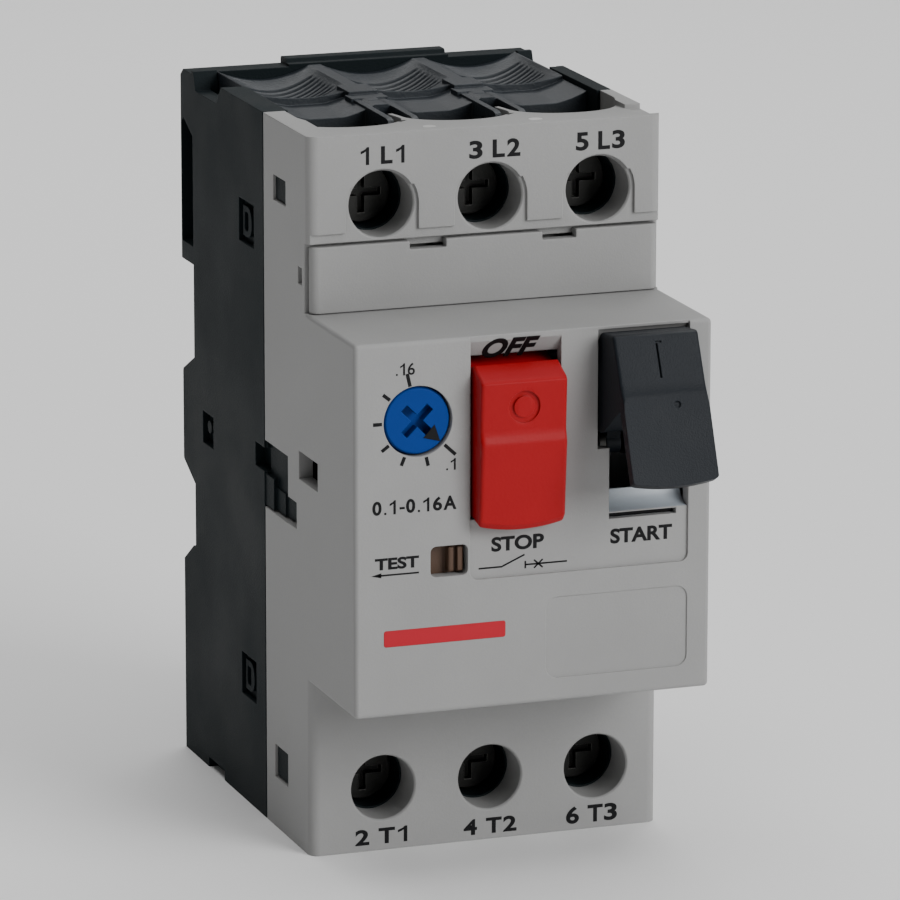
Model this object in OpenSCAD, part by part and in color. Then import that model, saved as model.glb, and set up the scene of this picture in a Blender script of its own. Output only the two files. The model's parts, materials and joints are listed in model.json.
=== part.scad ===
// Three-pole motor protection breaker on a 35 mm rail.
// Origin: centre of the rail seat. +Z up, front towards -Y, +X to the viewer's right. Millimetres.
// The case is drawn about a datum at its mid-height, in the floor of the base; from_seat() sets
// that drawing on the origin. The rail clip is drawn about the rail itself.

/* [Case] */
// Width of the case
body_w = 45; // [45:0.5:54]
// Height of the case between the terminal ends
body_h = 89; // [89:0.5:92]
// Distance from the floor datum forward to the raised operating face
face_depth = 61.3; // [60:0.1:64]
// Distance from the floor datum forward to the terminal faces
terminal_depth = 44.4; // [44:0.1:45]
// Distance from the floor datum forward to the joint of base and front housing
joint_depth = 27.3; // [27:0.1:27.6]
// How far the base reaches behind the rail seat
rear_reach = 5.3; // [5:0.1:6]
// General wall thickness of the mouldings
wall = 1.8; // [1.6:0.1:2]

/* [Raised front] */
// Top of the raised block above the rail centre
raised_top = 22.9; // [22.9:0.1:23.2]
// Bottom of the raised block below the rail centre
raised_bottom = 22.6; // [22.6:0.1:23]
// Top edge of the accessory cover above the rail centre
cover_top = 31.1; // [30.8:0.1:31.1]
// Width of the accessory cover
cover_w = 44.2; // [43:0.1:44.6]

/* [Poles and terminals] */
// Distance between neighbouring poles
pole_pitch = 13.8; // [13.8:0.05:13.9]
// Sideways offset of the middle pole from the middle of the case
pole_offset = 0.6; // [0.4:0.1:0.6]
// Clear width of one pole cell
cell_w = 12.4; // [12.2:0.1:12.4]
// Height of the upper terminal screws above the rail centre
line_screw_z = 35.8; // [35.6:0.1:36.2]
// Height of the lower terminal screws below the rail centre
load_screw_z = 36.6; // [36.2:0.1:36.8]
// Diameter of the screwdriver access bores
access_d = 8.1; // [7.6:0.1:8.4]
// Thread diameter of the terminal screws
screw_d = 4; // [3.5:0.1:4]

/* [Controls] */
// Width of the START and STOP button caps
button_w = 10.8; // [10:0.1:10.9]
// Left side of the START cap
start_x = 8.45; // [8.4:0.05:8.5]
// Left side of the STOP cap
stop_x = -7.65; // [-7.7:0.05:-7.6]
// Swing of the START button from released to pressed, in degrees
start_swing = 24; // [20:1:24]
// Diameter of the visible face of the setting dial
dial_d = 8.2; // [7.8:0.1:8.2]

/* [Rail] */
// Distance from the floor datum back to the rail seat
seat_y = 1.5; // [1.4:0.1:1.6]
// Height of the rail's centre line above the middle of the case
rail_z = 1.45; // [1.3:0.05:1.6]
// Height of the recess that takes the rail
rail_recess_h = 36.7; // [36.2:0.1:37]
// Thickness of the rail flange that the hooks reach behind
flange_t = 1; // [1:0.1:1.1]

/* [Hidden] */
$fn = 48;
eps = 0.02;
half_w = body_w / 2;
half_h = body_h / 2;
face_y = -face_depth;
term_y = -terminal_depth;
joint_y = -joint_depth;
inset_depth = 0.3;
panel_y = face_y + inset_depth;
front_wall_in = face_y + 1.7;
cavity_x = half_w - wall;
cavity_top = raised_top - 1.6;
cavity_bottom = -(raised_bottom - 1.6);
pole_x = [for (i = [-1:1]) pole_offset + i * pole_pitch];
cell_half = cell_w / 2;
cells_left = pole_x[0] - cell_half;
cells_right = pole_x[2] + cell_half;
cell_top = 30;
base_floor_y = -2;
pocket_y = term_y + 5;
snap_depth = 1.4;
snap_z = [36.05, -36];
guide_z = 39.5;
guide_top = half_h - 0.2;
line_guide_rear = 2;
load_guide_rear = 0.9;
recess_half = rail_recess_h / 2;
rear_y = seat_y + rear_reach;

// Button pivot, shared by both rocker buttons
pivot_y = -54.7;
pivot_z = 18.4;
pin_r = 0.9;
pin_gap = 0.06;

// Setting dial and its follower
dial_x = -14.6;
dial_z = 13.2;
cam_ecc = 0.5;
adjust_x = -18;
adjust_z = -2;

// Trip bar axis
trip_y = -34;
trip_z = 12.5;
trip_r = 1.1;

// Poles: coil axis height and contact planes
coil_z = 19.2;
fixed_y = -6;
bridge_y = -12.7;
contact_travel = 4;
strip_z = -17.45;

// Terminal stack, from the screw head back to the terminal plate
head_y = -36.4;
head_h = 2.4;
head_r = 3.6;
clamp_y = -33.9;
plate_y = -26.2;
plate_t = 1.8;

// ---------- shape helpers ----------

// Box between two corners
module box(x, y, z) {
    translate([x[0], y[0], z[0]]) cube([x[1] - x[0], y[1] - y[0], z[1] - z[0]]);
}

// Cylinder along X, Y or Z between two positions
module cyl_x(r, x, y, z) {
    translate([x[0], y, z]) rotate([0, 90, 0]) cylinder(r = r, h = x[1] - x[0]);
}
module cyl_y(r, x, y, z) {
    translate([x, y[1], z]) rotate([90, 0, 0]) cylinder(r = r, h = y[1] - y[0]);
}
module cyl_z(r, x, y, z) {
    translate([x, y, z[0]]) cylinder(r = r, h = z[1] - z[0]);
}

// Outline in the Y-Z plane, extruded along X
module side_profile(points, x) {
    translate([x[0], 0, 0]) rotate([90, 0, 90]) linear_extrude(x[1] - x[0]) polygon(points);
}

// Outline in the X-Z plane, extruded along Y
module front_profile(points, y) {
    translate([0, y[1], 0]) rotate([90, 0, 0]) linear_extrude(y[1] - y[0]) polygon(points);
}

// Children as drawn for the line side, or mirrored to the load side
module at_end(side) {
    if (side > 0) children();
    else mirror([0, 0, 1]) children();
}

// Round bar swept along points, as one closed mesh
module swept_wire(points, r, sides) {
    n = len(points);
    rings = [for (i = [0:n - 1]) let (
        a = points[max(i - 1, 0)],
        b = points[min(i + 1, n - 1)],
        t = (b - a) / norm(b - a),
        u0 = abs(t[1]) < 0.9 ? [0, 1, 0] : [1, 0, 0],
        u = cross(t, u0) / norm(cross(t, u0)),
        v = cross(t, u)
    ) for (k = [0:sides - 1]) points[i] + r * (cos(360 * k / sides) * u + sin(360 * k / sides) * v)];
    walls = [for (i = [0:n - 2]) for (k = [0:sides - 1]) let (
        p = i * sides + k,
        q = i * sides + (k + 1) % sides
    ) each [[p, q, q + sides], [p, q + sides, p + sides]]];
    ends = [[for (k = [sides - 1:-1:0]) k], [for (k = [0:sides - 1]) (n - 1) * sides + k]];
    polyhedron(points = rings, faces = concat(walls, ends));
}

// Coil spring or winding along Y, centred on x and z
module coil_y(coil_r, wire_r, x, y, z, turns, steps = 12, sides = 6) {
    n = turns * steps;
    swept_wire([for (i = [0:n]) let (a = 360 * i / steps)
        [x + coil_r * cos(a), y[0] + wire_r + (y[1] - y[0] - 2 * wire_r) * i / n, z + coil_r * sin(a)]],
        wire_r, sides);
}

// Moves a drawing made from the floor datum to the rail seat
module from_seat() translate([0, -seat_y, -rail_z]) children();

// Moves a drawing made about the rail to its place behind the floor datum
module at_rail() translate([0, seat_y, rail_z]) children();

// ---------- housing ----------

module rail_cut() {
    side_profile([
        [0, -recess_half], [0, recess_half], [rear_reach + 1, recess_half],
        [rear_reach + 1, -recess_half - 3.4], [rear_reach, -recess_half - 2.8], [0.9, -recess_half]
    ], [-half_w - 1, half_w + 1]);
    // Relief grooves between the flat seat and the two gripping edges
    for (z = [[-16.4, -15.6], [15.6, 16.4]]) box([-half_w - 1, half_w + 1], [-0.4, 1], z);
}

// Fixed hooks that reach behind the upper flange of the rail
module rail_hooks() {
    for (x = [-12.5, 6.5]) {
        side_profile([
            [flange_t + 0.15, recess_half + 0.5], [flange_t + 0.15, recess_half - 1.7],
            [flange_t + 0.75, recess_half - 1.7], [flange_t + 2.2, recess_half - 0.7],
            [flange_t + 2.2, recess_half + 0.5]
        ], [x, x + 6]);
    }
}

// Pair of bosses in the recess, which reach into the hollow of the rail
module rail_boss() {
    for (x = [[-half_w, -4], [4, half_w]])
        side_profile([[-0.5, -10.3], [rear_reach - 0.5, -7.7], [rear_reach - 0.5, 4], [-0.5, 6.7]], x);
}

// Channel in the lower leg that guides the rail clip
module clip_channel() {
    box([-9.2, 10.2], [0.9, 2.55], [-half_h - 3, -recess_half + 1]);
    box([-7.4, 8.4], [0.9, rear_reach + 1], [-half_h - 3, -recess_half + 1]);
}

// Open end of the base: seat of the wire guide and space behind the terminal plates
module terminal_end_cuts(rear) {
    box([cells_left, cells_right], [joint_y - 1, rear], [guide_z, half_h + 1]);
    for (x = pole_x) box([x - cell_half, x + cell_half], [joint_y - 1, -18], [cell_top - 1, guide_z + 1]);
}

// Pocket in the side wall where a neighbouring accessory snaps in
module snap_recess(z) {
    for (side = [-1, 1]) {
        x = side * half_w;
        box([x - 0.8, x + 0.8], [-23.3, -17.4], [z - 2.7, z + 2.7]);
        box([x - 1.6, x + 1.6], [-20.4, -18.2], [z - 1.6, z + 1.6]);
    }
}

module base_housing() color([0.15, 0.17, 0.18]) from_seat() {
    union() {
        difference() {
            box([-half_w, half_w], [joint_y, rear_y], [-half_h, half_h]);
            at_rail() rail_cut();
            for (x = pole_x)
                box([x - cell_half, x + cell_half], [joint_y - 1, base_floor_y], [-cell_top, cell_top]);
            // Slot through the pole walls for the contact carrier
            box([cells_left, cells_right], [joint_y - 1, -5.5], [-4.1, 4.1]);
            // Slot through the pole walls for the two trip slides
            box([cells_left, cells_right], [joint_y - 1, -23.8], [strip_z - 4, strip_z + 4]);
            for (side = [-1, 1]) at_end(side) {
                terminal_end_cuts(side > 0 ? line_guide_rear : load_guide_rear);
            }
            // Pockets in the sides of the upper leg, with a thin rim at the back
            for (s = [-1, 1]) box([s * half_w - 3, s * half_w + 3], [1.4, rear_y - 0.5], [22, 38]);
            // Lowered rear bar on both sides of the raised block
            for (x = [[-half_w - 1, -9.6], [11.6, half_w + 1]])
                box(x, [1.8, rear_y + 1], [half_h - 0.35, half_h + 1]);
            // Bevel along the upper rear edge
            side_profile([[rear_y - 2.2, half_h + 0.1], [rear_y + 0.4, half_h + 0.4],
                [rear_y + 0.1, half_h - 1.6]], [-half_w - 1, half_w + 1]);
            // Notches in the top edges of the side walls
            side_profile([[-10.3, half_h + eps], [-8.4, half_h - 2.3], [0.1, half_h - 2.3], [1, half_h + eps],
                [1, half_h + 1], [-10.3, half_h + 1]], [-half_w - 1, half_w + 1]);
            snap_recess(29.5);
            snap_recess(-28.2);
            for (side = [-1, 1]) {
                x = side * half_w;
                box([x - 1, x + 1], [-6.3, -1.9], [-2.3, 1.8]);
                box([x - 1.2, x + 1.2], [-9.9, -3.3], [-half_h - 1, -half_h + 1.3]);
                box([x - 1.4, x + 1.4], [joint_y - 1, -23.3], [-0.3, 2.75]);
            }
            at_rail() clip_channel();
        }
        // Raised block in the middle of the upper rear bar
        box([-9.5, 11.6], [3.2, rear_y - 1], [half_h - 1, half_h + 0.5]);
        at_rail() {
            rail_hooks();
            rail_boss();
            // Stop that carries the spring of the rail clip
            box([-0.4, 1.4], [0.5, 3.4], [-35.8, -34.8]);
        }
        // Latch plates and ridges that hold the front housing
        for (side = [-1, 1]) {
            // Snap tongues behind the windows of the front housing
            tongue_x = side * (half_w - snap_depth - 0.3);
            for (z = snap_z)
                box([tongue_x - 0.3, tongue_x + 0.3], [-36.3, joint_y + 1.5], [z - 2.2, z + 2.2]);
            x = side * (half_w - 1.05);
            box([x - 0.25, x + 0.25], [-36, joint_y + 4.2], [-4.4, -0.4]);
            box([x - 0.25, x + 0.25], [-39.3, -35.9], [-4.3, -1.3]);
            box([x - 0.25, x + 0.25], [-36, joint_y + 0.1], [-0.5, 3.6]);
            box([x + 0.4 * side - 0.5, x + 0.4 * side + 0.5], [-31.6, joint_y + 0.1], [-4.4, -0.6]);
            box([x + 0.2 * side - 0.4, x + 0.2 * side + 0.4], [-33.6, -31.5], [-4.4, -0.6]);
        }
    }
}

// Round-bottomed cut of one wire entry in the top wall of the front housing
module entry_scallops() {
    for (x = pole_x) {
        cyl_z(6.6, x, joint_y - 3.9, [half_h - 3.9, half_h + 1]);
        box([x - 6.6, x + 6.6], [joint_y - 3.9, joint_y + 1], [half_h - 3.9, half_h + 1]);
    }
}

// Shallow step round the access bores, open towards the middle of the device
module keyhole_recess(z, edge) {
    box([-half_w - 1, half_w + 1], [term_y - 1, term_y + 0.4], [edge - 1, edge + 1.1]);
    for (x = pole_x) {
        cyl_y(4.7, x, [term_y - 1, term_y + 0.4], z);
        box([x - 4.7, x + 4.7], [term_y - 1, term_y + 0.4], [edge, z]);
    }
}

module button_windows() {
    // STOP: straight window with a ramp above it
    side_profile([[face_y - 1, 0.6], [face_y - 1, 22.6], [face_y, 22.6], [front_wall_in + 0.4, 19.6],
        [front_wall_in + 0.4, 0.6]], [stop_x - 0.3, stop_x + button_w + 0.3]);
    // START: the lower part is narrower on the left
    side_profile([[face_y - 1, 8.2], [face_y - 1, 22.5], [face_y + 0.8, 22.5], [front_wall_in + 0.1, 20.8],
        [front_wall_in + 0.1, 8.2]], [start_x - 0.35, start_x + button_w + 0.35]);
    side_profile([[face_y - 1, 0.1], [face_y + 0.3, 0.1], [front_wall_in + 0.4, 2.2], [front_wall_in + 0.4, 9],
        [face_y - 1, 9]], [start_x + 1.15, start_x + button_w + 0.35]);
    // Slot below the START window
    box([start_x + 1.15, start_x + 9.75], [face_y - 1, face_y + 1.3], [-0.75, -0.05]);
}

// Bearing blocks inside the front housing, as a solid with bores
module inner_bearings() {
    // Adjust lever
    for (y = [[-50, -48], [-38, -36]]) difference() {
        box([-cavity_x - 0.5, -16.4], y, [-3.7, -0.3]);
        cyl_y(1 + pin_gap, adjust_x, [y[0] - 1, y[1] + 1], adjust_z);
    }
    // Trip bar
    for (x = [[-cavity_x - 0.5, -19], [19.4, cavity_x + 0.5]]) difference() {
        box(x, [trip_y - 2, trip_y + 2], [trip_z - 2, trip_z + 2]);
        cyl_x(trip_r + pin_gap, [x[0] - 1, x[1] + 1], trip_y, trip_z);
    }
}

module front_housing() color([0.61, 0.61, 0.61]) from_seat() {
    difference() {
        union() {
            difference() {
                union() {
                    box([-half_w, half_w], [term_y, joint_y], [-half_h, half_h]);
                    box([-half_w, half_w], [face_y, term_y + 1], [-raised_bottom, raised_top]);
                }
                // Mechanism chamber
                box([-cavity_x, cavity_x], [front_wall_in, joint_y + 1], [cavity_bottom, cavity_top]);
                // Terminal chambers behind the access bores
                for (side = [-1, 1]) at_end(side) for (x = pole_x) {
                    box([x - cell_half, x + cell_half], [pocket_y, joint_y + 1], [raised_top, half_h - 2.9]);
                }
            }
            inner_bearings();
        }
        for (side = [-1, 1]) at_end(side) {
            entry_scallops();
            // Small notches in the points between the wire entries
            for (i = [0, 1])
                translate([pole_x[i] + pole_pitch / 2 - 1.5, joint_y - 7.3, half_h - 1.5])
                    rotate([0, 0, 45]) cube([1.6, 1.6, 5], center = true);
            // The end walls fall a little towards the wire entries
            side_profile([[term_y + 1, half_h + eps], [joint_y + 1, half_h - 1.3], [joint_y + 1, half_h + 2],
                [term_y + 1, half_h + 2]], [cells_left + 0.1, cells_right - 0.1]);
        }
        for (x = pole_x) {
            cyl_y(access_d / 2, x, [term_y - 1, pocket_y + 1], line_screw_z);
            cyl_y(access_d / 2, x, [term_y - 1, pocket_y + 1], -load_screw_z);
        }
        // Seat of the accessory cover and the shallow auxiliary pocket behind it
        box([-half_w - 1, half_w + 1], [term_y - 1, term_y + 1.6], [raised_top, cover_top + 0.35]);
        box([-17, 17], [term_y, term_y + 4], [24, 30.4]);
        keyhole_recess(line_screw_z, cover_top + 0.35);
        // Control panel, sunk a little into the raised face
        box([-8.1, 19.65], [face_y - 1, panel_y], [-6.7, 22.6]);
        button_windows();
        cyl_y(dial_d / 2 + 0.2, dial_x, [face_y - 1, front_wall_in + 1], dial_z);
        // Slot of the test slide
        box([-13.05, -8.35], [face_y - 1, front_wall_in + 1], [-5.95, -2.2]);
        // Field for the rating label
        box([1.55, 19.6], [face_y - 1, face_y + 0.15], [-19.7, -9.7]);
        // Windows, slits and the latch notch in the side walls
        for (side = [-1, 1]) {
            x = side * half_w;
            box([x - 3.2, x + 3.2], [-35.8, -31], [34.5, 37.6]);
            box([x - 3.2, x + 3.2], [-35.7, -30.6], [-38.1, -33.9]);
            box([x - 2, x + 2], [-47.6, -40.4], [2, 5.5]);
            box([x - 0.8, x + 0.8], [-41.9, -40.4], [26.1, 28.2]);
            box([x - 1.5, x + 1.5], [-36.2, joint_y + 1], [-4.6, 3.8]);
            box([x - 1.5, x + 1.5], [-39.5, -36], [-4.5, -1.2]);
            // Slots for the snap tongues of the base
            tongue_x = side * (half_w - snap_depth - 0.3);
            for (z = snap_z) box([tongue_x - 0.4, tongue_x + 0.4], [-36.5, joint_y + 1], [z - 2.4, z + 2.4]);
        }
        // Notch in the upper right corner behind the front wall
        box([20.4, half_w + 1], [-43.4, -37], [half_h - 0.65, half_h + 1]);
    }
}

module accessory_cover() color([0.6, 0.6, 0.6]) from_seat() {
    difference() {
        union() {
            box([-cover_w / 2, cover_w / 2], [term_y, term_y + 1.5], [raised_top + 0.1, cover_top]);
            // Snap hooks behind the plate
            for (x = [-14, 11]) box([x, x + 3], [term_y + 1, term_y + 3.6], [24.4, 26]);
        }
        for (x = [[-9.7, -5.1], [7.2, 11.5]]) box(x, [term_y - 1, term_y + 3], [cover_top - 1, cover_top + 1]);
    }
}

// Ribbed funnel that leads the wires of all poles into the clamps
module wire_guide(rear) {
    lip_y = -15.5;
    front_y = joint_y + 3.4;
    valley_r = 9;
    difference() {
        union() {
            box([cells_left + 0.1, cells_right - 0.1], [front_y, rear - 0.1], [guide_z + 0.1, guide_top]);
            // Fins between the poles, with a pair of prongs at the front
            for (i = [0, 1]) {
                x = pole_x[i] + pole_pitch / 2;
                box([x - 0.8, x + 0.8], [joint_y + 0.1, front_y + 1], [guide_z + 0.1, guide_top]);
                for (s = [-1, 1]) {
                    p = x + s * 1.6;
                    box([p - 0.45, p + 0.45],
                        [joint_y + 0.1, front_y - 0.9], [guide_z + 0.1, guide_top - 0.6]);
                    box([p - 0.4, p + 0.4],
                        [joint_y - 5.2, joint_y + 0.2], [guide_top - 2.6, guide_top - 0.6]);
                }
                box([x - 2.05, x + 2.05], [front_y - 1, front_y + 1], [guide_z + 0.1, guide_top - 0.6]);
            }
        }
        for (x = pole_x) {
            // Rear valley with cross grooves
            cyl_y(valley_r, x, [lip_y + 4, 3], guide_top - 1.9 + valley_r);
            for (k = [0:5]) {
                y = -1.2 - 1.5 * k;
                cyl_y(valley_r, x, [y - 0.35, y + 0.35], guide_top - 2.3 + valley_r);
            }
            // Front valley below the straight lip
            cyl_y(valley_r, x, [front_y - 1, lip_y], guide_top - 2.6 + valley_r);
            box([x - 5.4, x + 5.4], [front_y - 1, lip_y], [guide_top - 1.2, guide_top + 1]);
        }
    }
}

module upper_wire_guide() color([0.17, 0.19, 0.2]) from_seat() wire_guide(line_guide_rear);
module lower_wire_guide() color([0.17, 0.19, 0.2]) from_seat() mirror([0, 0, 1]) wire_guide(load_guide_rear);

// ---------- controls ----------

// Ear with the pivot bore that each rocker button hangs on
module pivot_ear(x) {
    difference() {
        children();
        cyl_x(pin_r + pin_gap, [x[0] - 1, x[1] + 1], pivot_y, pivot_z);
    }
}

module start_button() color([0.17, 0.19, 0.21]) from_seat() {
    x = [start_x, start_x + button_w];
    difference() {
        union() {
            pivot_ear(x) side_profile([
                [-61, 22.1], [-65, 22.35], [-67.5, 16.9], [-68.15, 15.9], [-72.15, 5.95], [-70.9, 5.3],
                [-67.4, 13.9], [-61, 9.9], [-57.3, 10.6], [-57.3, 15.6], [-54.7, 16.4], [-52.7, 17.4],
                [-52.7, 19.4], [-54.2, 20.3], [-59.2, 19.7], [-60.7, 21.7]
            ], x);
            // Drive arm with its round end
            side_profile([[-55.6, 17], [-53.8, 17], [-51.4, 6.6], [-53, 6.2]], [12.2, 14]);
            cyl_x(1.3, [12.2, 14], -52.2, 6.4);
        }
        // Engraved stroke and dimple
        translate([start_x + 5.4, -66.3, 19.4]) rotate([-start_swing, 0, 0])
            cube([0.25, 0.8, 4.4], center = true);
    }
}

module stop_button() color([0.7, 0.12, 0.13]) from_seat() {
    x = [stop_x, stop_x + button_w];
    difference() {
        pivot_ear(x) side_profile([
            [-61, 19.3], [-64.1, 17.75], [-63.9, 11.6], [-64.2, 10.4], [-63.5, 0.6], [-62.8, -0.1], [-61.6, 0.2],
            [-61.6, 0.95], [-60, 0.95], [-60, 9.2], [-57.3, 9.6], [-57.3, 15.6], [-54.7, 16.4], [-52.7, 17.4],
            [-52.7, 19.4], [-54.2, 20.3], [-59.5, 18.5]
        ], x);
        // Engraved ring
        difference() {
            cyl_y(1.97, -2.25, [-64.5, -63.75], 14.6);
            cyl_y(1.3, -2.25, [-65, -63], 14.6);
        }
    }
}

module button_pivot_pin() color([0.7, 0.7, 0.72]) from_seat() cyl_x(pin_r, [-9.35, 20.4], pivot_y, pivot_z);

module start_spring() color([0.75, 0.75, 0.76]) from_seat() coil_y(1.9, 0.25, 16.9, [-57.25, -44.65], 13.1, 6);
module stop_spring() color([0.75, 0.75, 0.76]) from_seat() coil_y(1.9, 0.25, -2.2, [-57.25, -44.65], 12.6, 6);

module setting_dial() color([0.04, 0.25, 0.58]) from_seat() {
    difference() {
        union() {
            cyl_y(dial_d / 2, dial_x, [face_y + 0.25, front_wall_in + 0.3], dial_z);
            cyl_y(dial_d / 2 + 0.8, dial_x, [front_wall_in + 0.15, front_wall_in + 0.9], dial_z);
            cyl_y(2, dial_x, [front_wall_in + 0.8, -51.9], dial_z);
            cyl_y(3, dial_x + cam_ecc, [-52, -50], dial_z);
        }
        // Cross slot at 45 degrees
        for (a = [45, 135]) translate([dial_x, face_y + 0.7, dial_z]) rotate([0, a, 0])
            cube([4.6, 1.4, 1.1], center = true);
    }
}

// Follower of the dial cam and carrier of the compensating strip
module adjust_lever() color([0.72, 0.6, 0.35]) from_seat() {
    cyl_y(1, adjust_x, [-52.2, -31], adjust_z);
    box([-18.25, -17.45], [-51.9, -50.2], [adjust_z + 0.5, 16.5]);
    box([-18.4, -17.6], [-33, -31], [strip_z + 2, adjust_z - 0.5]);
}

module test_slide() color([0.42, 0.3, 0.2]) from_seat() {
    difference() {
        box([-10.6, -8.75], [-60.7, -57.7], [-5.6, -2.55]);
        box([-9.9, -9.4], [-61, -59.9], [-6, -2]);
    }
    box([-14.4, -7.6], [-59.5, -58.6], [-6.6, -1.6]);
    box([-12.4, -11.4], [-58.8, -39.5], [-4.7, -3.4]);
}

module test_spring() color([0.75, 0.75, 0.76]) from_seat() {
    swept_wire([for (i = [0:60]) let (a = 30 * i)
        [-20.5 + 0.2 + 5.6 * i / 60, -56 + 0.9 * cos(a), -4.1 + 0.9 * sin(a)]], 0.2, 6);
}

// ---------- mechanism ----------

module mechanism_frame() color([0.68, 0.69, 0.7]) from_seat() {
    difference() {
        union() {
            box([-9.35, 20.4], [-44.6, -43.8], [-14, 20.6]);
            box([-9.35, -8.55], [-57.3, -43.8], [2, 20.6]);
            for (x = [5.4, 19.6]) box([x, x + 0.8], [-57.3, -43.8], [-14, 20.6]);
            // Ears behind the cross plate for the latch pin
            for (x = [9.4, 16.6]) box([x, x + 0.8], [-43.9, -39], [4, 11]);
        }
        cyl_x(pin_r + 0.03, [-12, 22], pivot_y, pivot_z);
        cyl_x(0.83, [8, 18], -41, 8.5);
        // Passage of the drive link
        box([10.9, 15.7], [-46, -43], [-2, 11.2]);
        // Relief for the test arm and the setting parts
        box([-9.4, 5], [-46, -43], [-12, 1]);
    }
}

// Pair of side plates between the button arm and the carrier, open at the button end
module drive_link() color([0.72, 0.72, 0.74]) from_seat() {
    for (x = [11.2, 14.4]) difference() {
        union() {
            side_profile([[-52.6, 5.2], [-52.3, 8.2], [-47, 6.1], [-32.3, 3.3], [-32.7, 0.7]], [x, x + 0.8]);
            cyl_x(1.5, [x, x + 0.8], -52.2, 6.4);
            cyl_x(1.5, [x, x + 0.8], -32.5, 2);
        }
        cyl_x(0.86, [x - 1, x + 2], -32.5, 2);
    }
    cyl_x(0.7, [12, 14.4], -49.6, 5.75);
}

module drive_link_pin() color([0.7, 0.7, 0.72]) from_seat() cyl_x(0.8, [11, 15.4], -32.5, 2);

// Hook that holds the carrier closed until the trip bar lets it go
module latch_hook() color([0.66, 0.67, 0.69]) from_seat() {
    difference() {
        union() {
            cyl_x(1.8, [10.35, 11.05], -41, 8.5);
            side_profile([
                [-42, 9.6], [-34.9, 7.6], [-34.9, 5.2], [-35.9, 5.2], [-35.9, 6.6], [-42, 7.6]
            ], [10.35, 11.05]);
        }
        cyl_x(0.8 + pin_gap, [9, 12], -41, 8.5);
    }
}

module latch_pin() color([0.7, 0.7, 0.72]) from_seat() cyl_x(0.8, [9.4, 17.4], -41, 8.5);

module trip_bar() color([0.82, 0.8, 0.74]) from_seat() {
    cyl_x(trip_r, [-cavity_x + 0.2, cavity_x - 0.2], trip_y, trip_z);
    for (x = pole_x) box([x - 1.2, x + 1.2], [trip_y - 0.5, trip_y + 0.4], [trip_z, 20.6]);
    box([-14.6, -13], [trip_y - 0.5, trip_y + 0.4], [1.5, trip_z]);
    box([17.6, 18.6], [trip_y - 5.5, trip_y], [trip_z - 0.6, trip_z + 0.6]);
}

// ---------- contacts ----------

module contact_carrier() color([0.2, 0.2, 0.21]) from_seat() {
    difference() {
        union() {
            box([cells_left + 0.3, cells_right - 0.3], [-22.4, -10.6], [-3.6, 3.6]);
            // Stem towards the mechanism, with a fork for the link pin
            box([6.7, 8.3], [-33.5, -22], [-2.4, 3.4]);
            box([6.7, 14.3], [-28.6, -26.4], [-2.4, 3.4]);
            box([12.3, 14.1], [-33.8, -26.6], [0.4, 3.6]);
        }
        cyl_x(0.83, [10, 17], -32.5, 2);
        // Windows for the bridges and their springs
        for (x = pole_x) box([x - 1.95, x + 1.95], [-19.6, -11.3], [-5, 5]);
    }
}

module contact_bridges() color([0.78, 0.5, 0.32]) from_seat() {
    for (x = pole_x) {
        box([x - 1.7, x + 1.7], [bridge_y, bridge_y + 1.2], [-8, 8]);
        for (z = [-6.2, 6.2]) cyl_y(1.5, x, [bridge_y + 1.1, bridge_y + 1.8], z);
    }
}

module contact_springs() color([0.75, 0.75, 0.76]) from_seat() {
    for (x = pole_x) coil_y(1.4, 0.2, x, [-19.58, bridge_y - 0.02], 0, 4);
}

module fixed_contacts(side) {
    at_end(side) for (x = pole_x) {
        box([x - 2, x + 2], [fixed_y, fixed_y + 1], [4.6, 13.6]);
        cyl_y(1.5, x, [fixed_y - 0.8, fixed_y + 0.1], 6.2);
        // Foot that stands on the floor of the base
        box([x - 2, x + 2], [fixed_y + 0.9, base_floor_y], [11, 12.2]);
    }
}

module line_fixed_contacts() color([0.78, 0.5, 0.32]) from_seat() fixed_contacts(1);
module load_fixed_contacts() color([0.78, 0.5, 0.32]) from_seat() fixed_contacts(-1);

module arc_splitter_plates() color([0.6, 0.6, 0.62]) from_seat() {
    for (side = [-1, 1]) at_end(side) for (x = pole_x) for (k = [0:5]) {
        y = -20 + 2.1 * k;
        difference() {
            box([x - 5.4, x + 5.4], [y, y + 0.7], [9.3, 13.3]);
            translate([x, y - 1, 9]) rotate([-90, 0, 0]) linear_extrude(3) polygon([[-2, 1], [2, 1], [0, -2]]);
        }
    }
}

module arc_chute_cheeks() color([0.88, 0.86, 0.8]) from_seat() {
    for (side = [-1, 1]) at_end(side) for (x = pole_x) for (s = [-1, 1]) {
        c = x + s * 5.75;
        box([c - 0.35, c + 0.35], [-21, -8], [9, 13.6]);
    }
}

// ---------- magnetic release ----------

module magnet_coils() color([0.76, 0.46, 0.28]) from_seat() {
    for (x = pole_x) coil_y(3.7, 0.75, x, [-19.5, -8], coil_z, 5, 16, 8);
}

module coil_bobbins() color([0.85, 0.83, 0.76]) from_seat() {
    for (x = pole_x) difference() {
        union() {
            cyl_y(2.4, x, [-20.6, -6.9], coil_z);
            for (y = [-20.6, -7.5]) cyl_y(5, x, [y, y + 0.6], coil_z);
        }
        cyl_y(1.6, x, [-22, -5], coil_z);
    }
}

module magnet_yokes() color([0.6, 0.61, 0.63]) from_seat() {
    for (x = pole_x) difference() {
        union() {
            box([x - 5.6, x + 5.6], [-6.4, -5.2], [13.9, 25.4]);
            box([x - 5.6, x + 5.6], [-22, -5.2], [24.5, 25.4]);
            box([x - 5.6, x + 5.6], [-22, -21], [13.9, 25.4]);
        }
        cyl_y(1.48, x, [-24, -20], coil_z);
    }
}

module striker(i) {
    x = pole_x[i];
    cyl_y(1.4, x, [-30.4, -9], coil_z);
    cyl_y(2, x, [-29, -28.3], coil_z);
}

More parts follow.
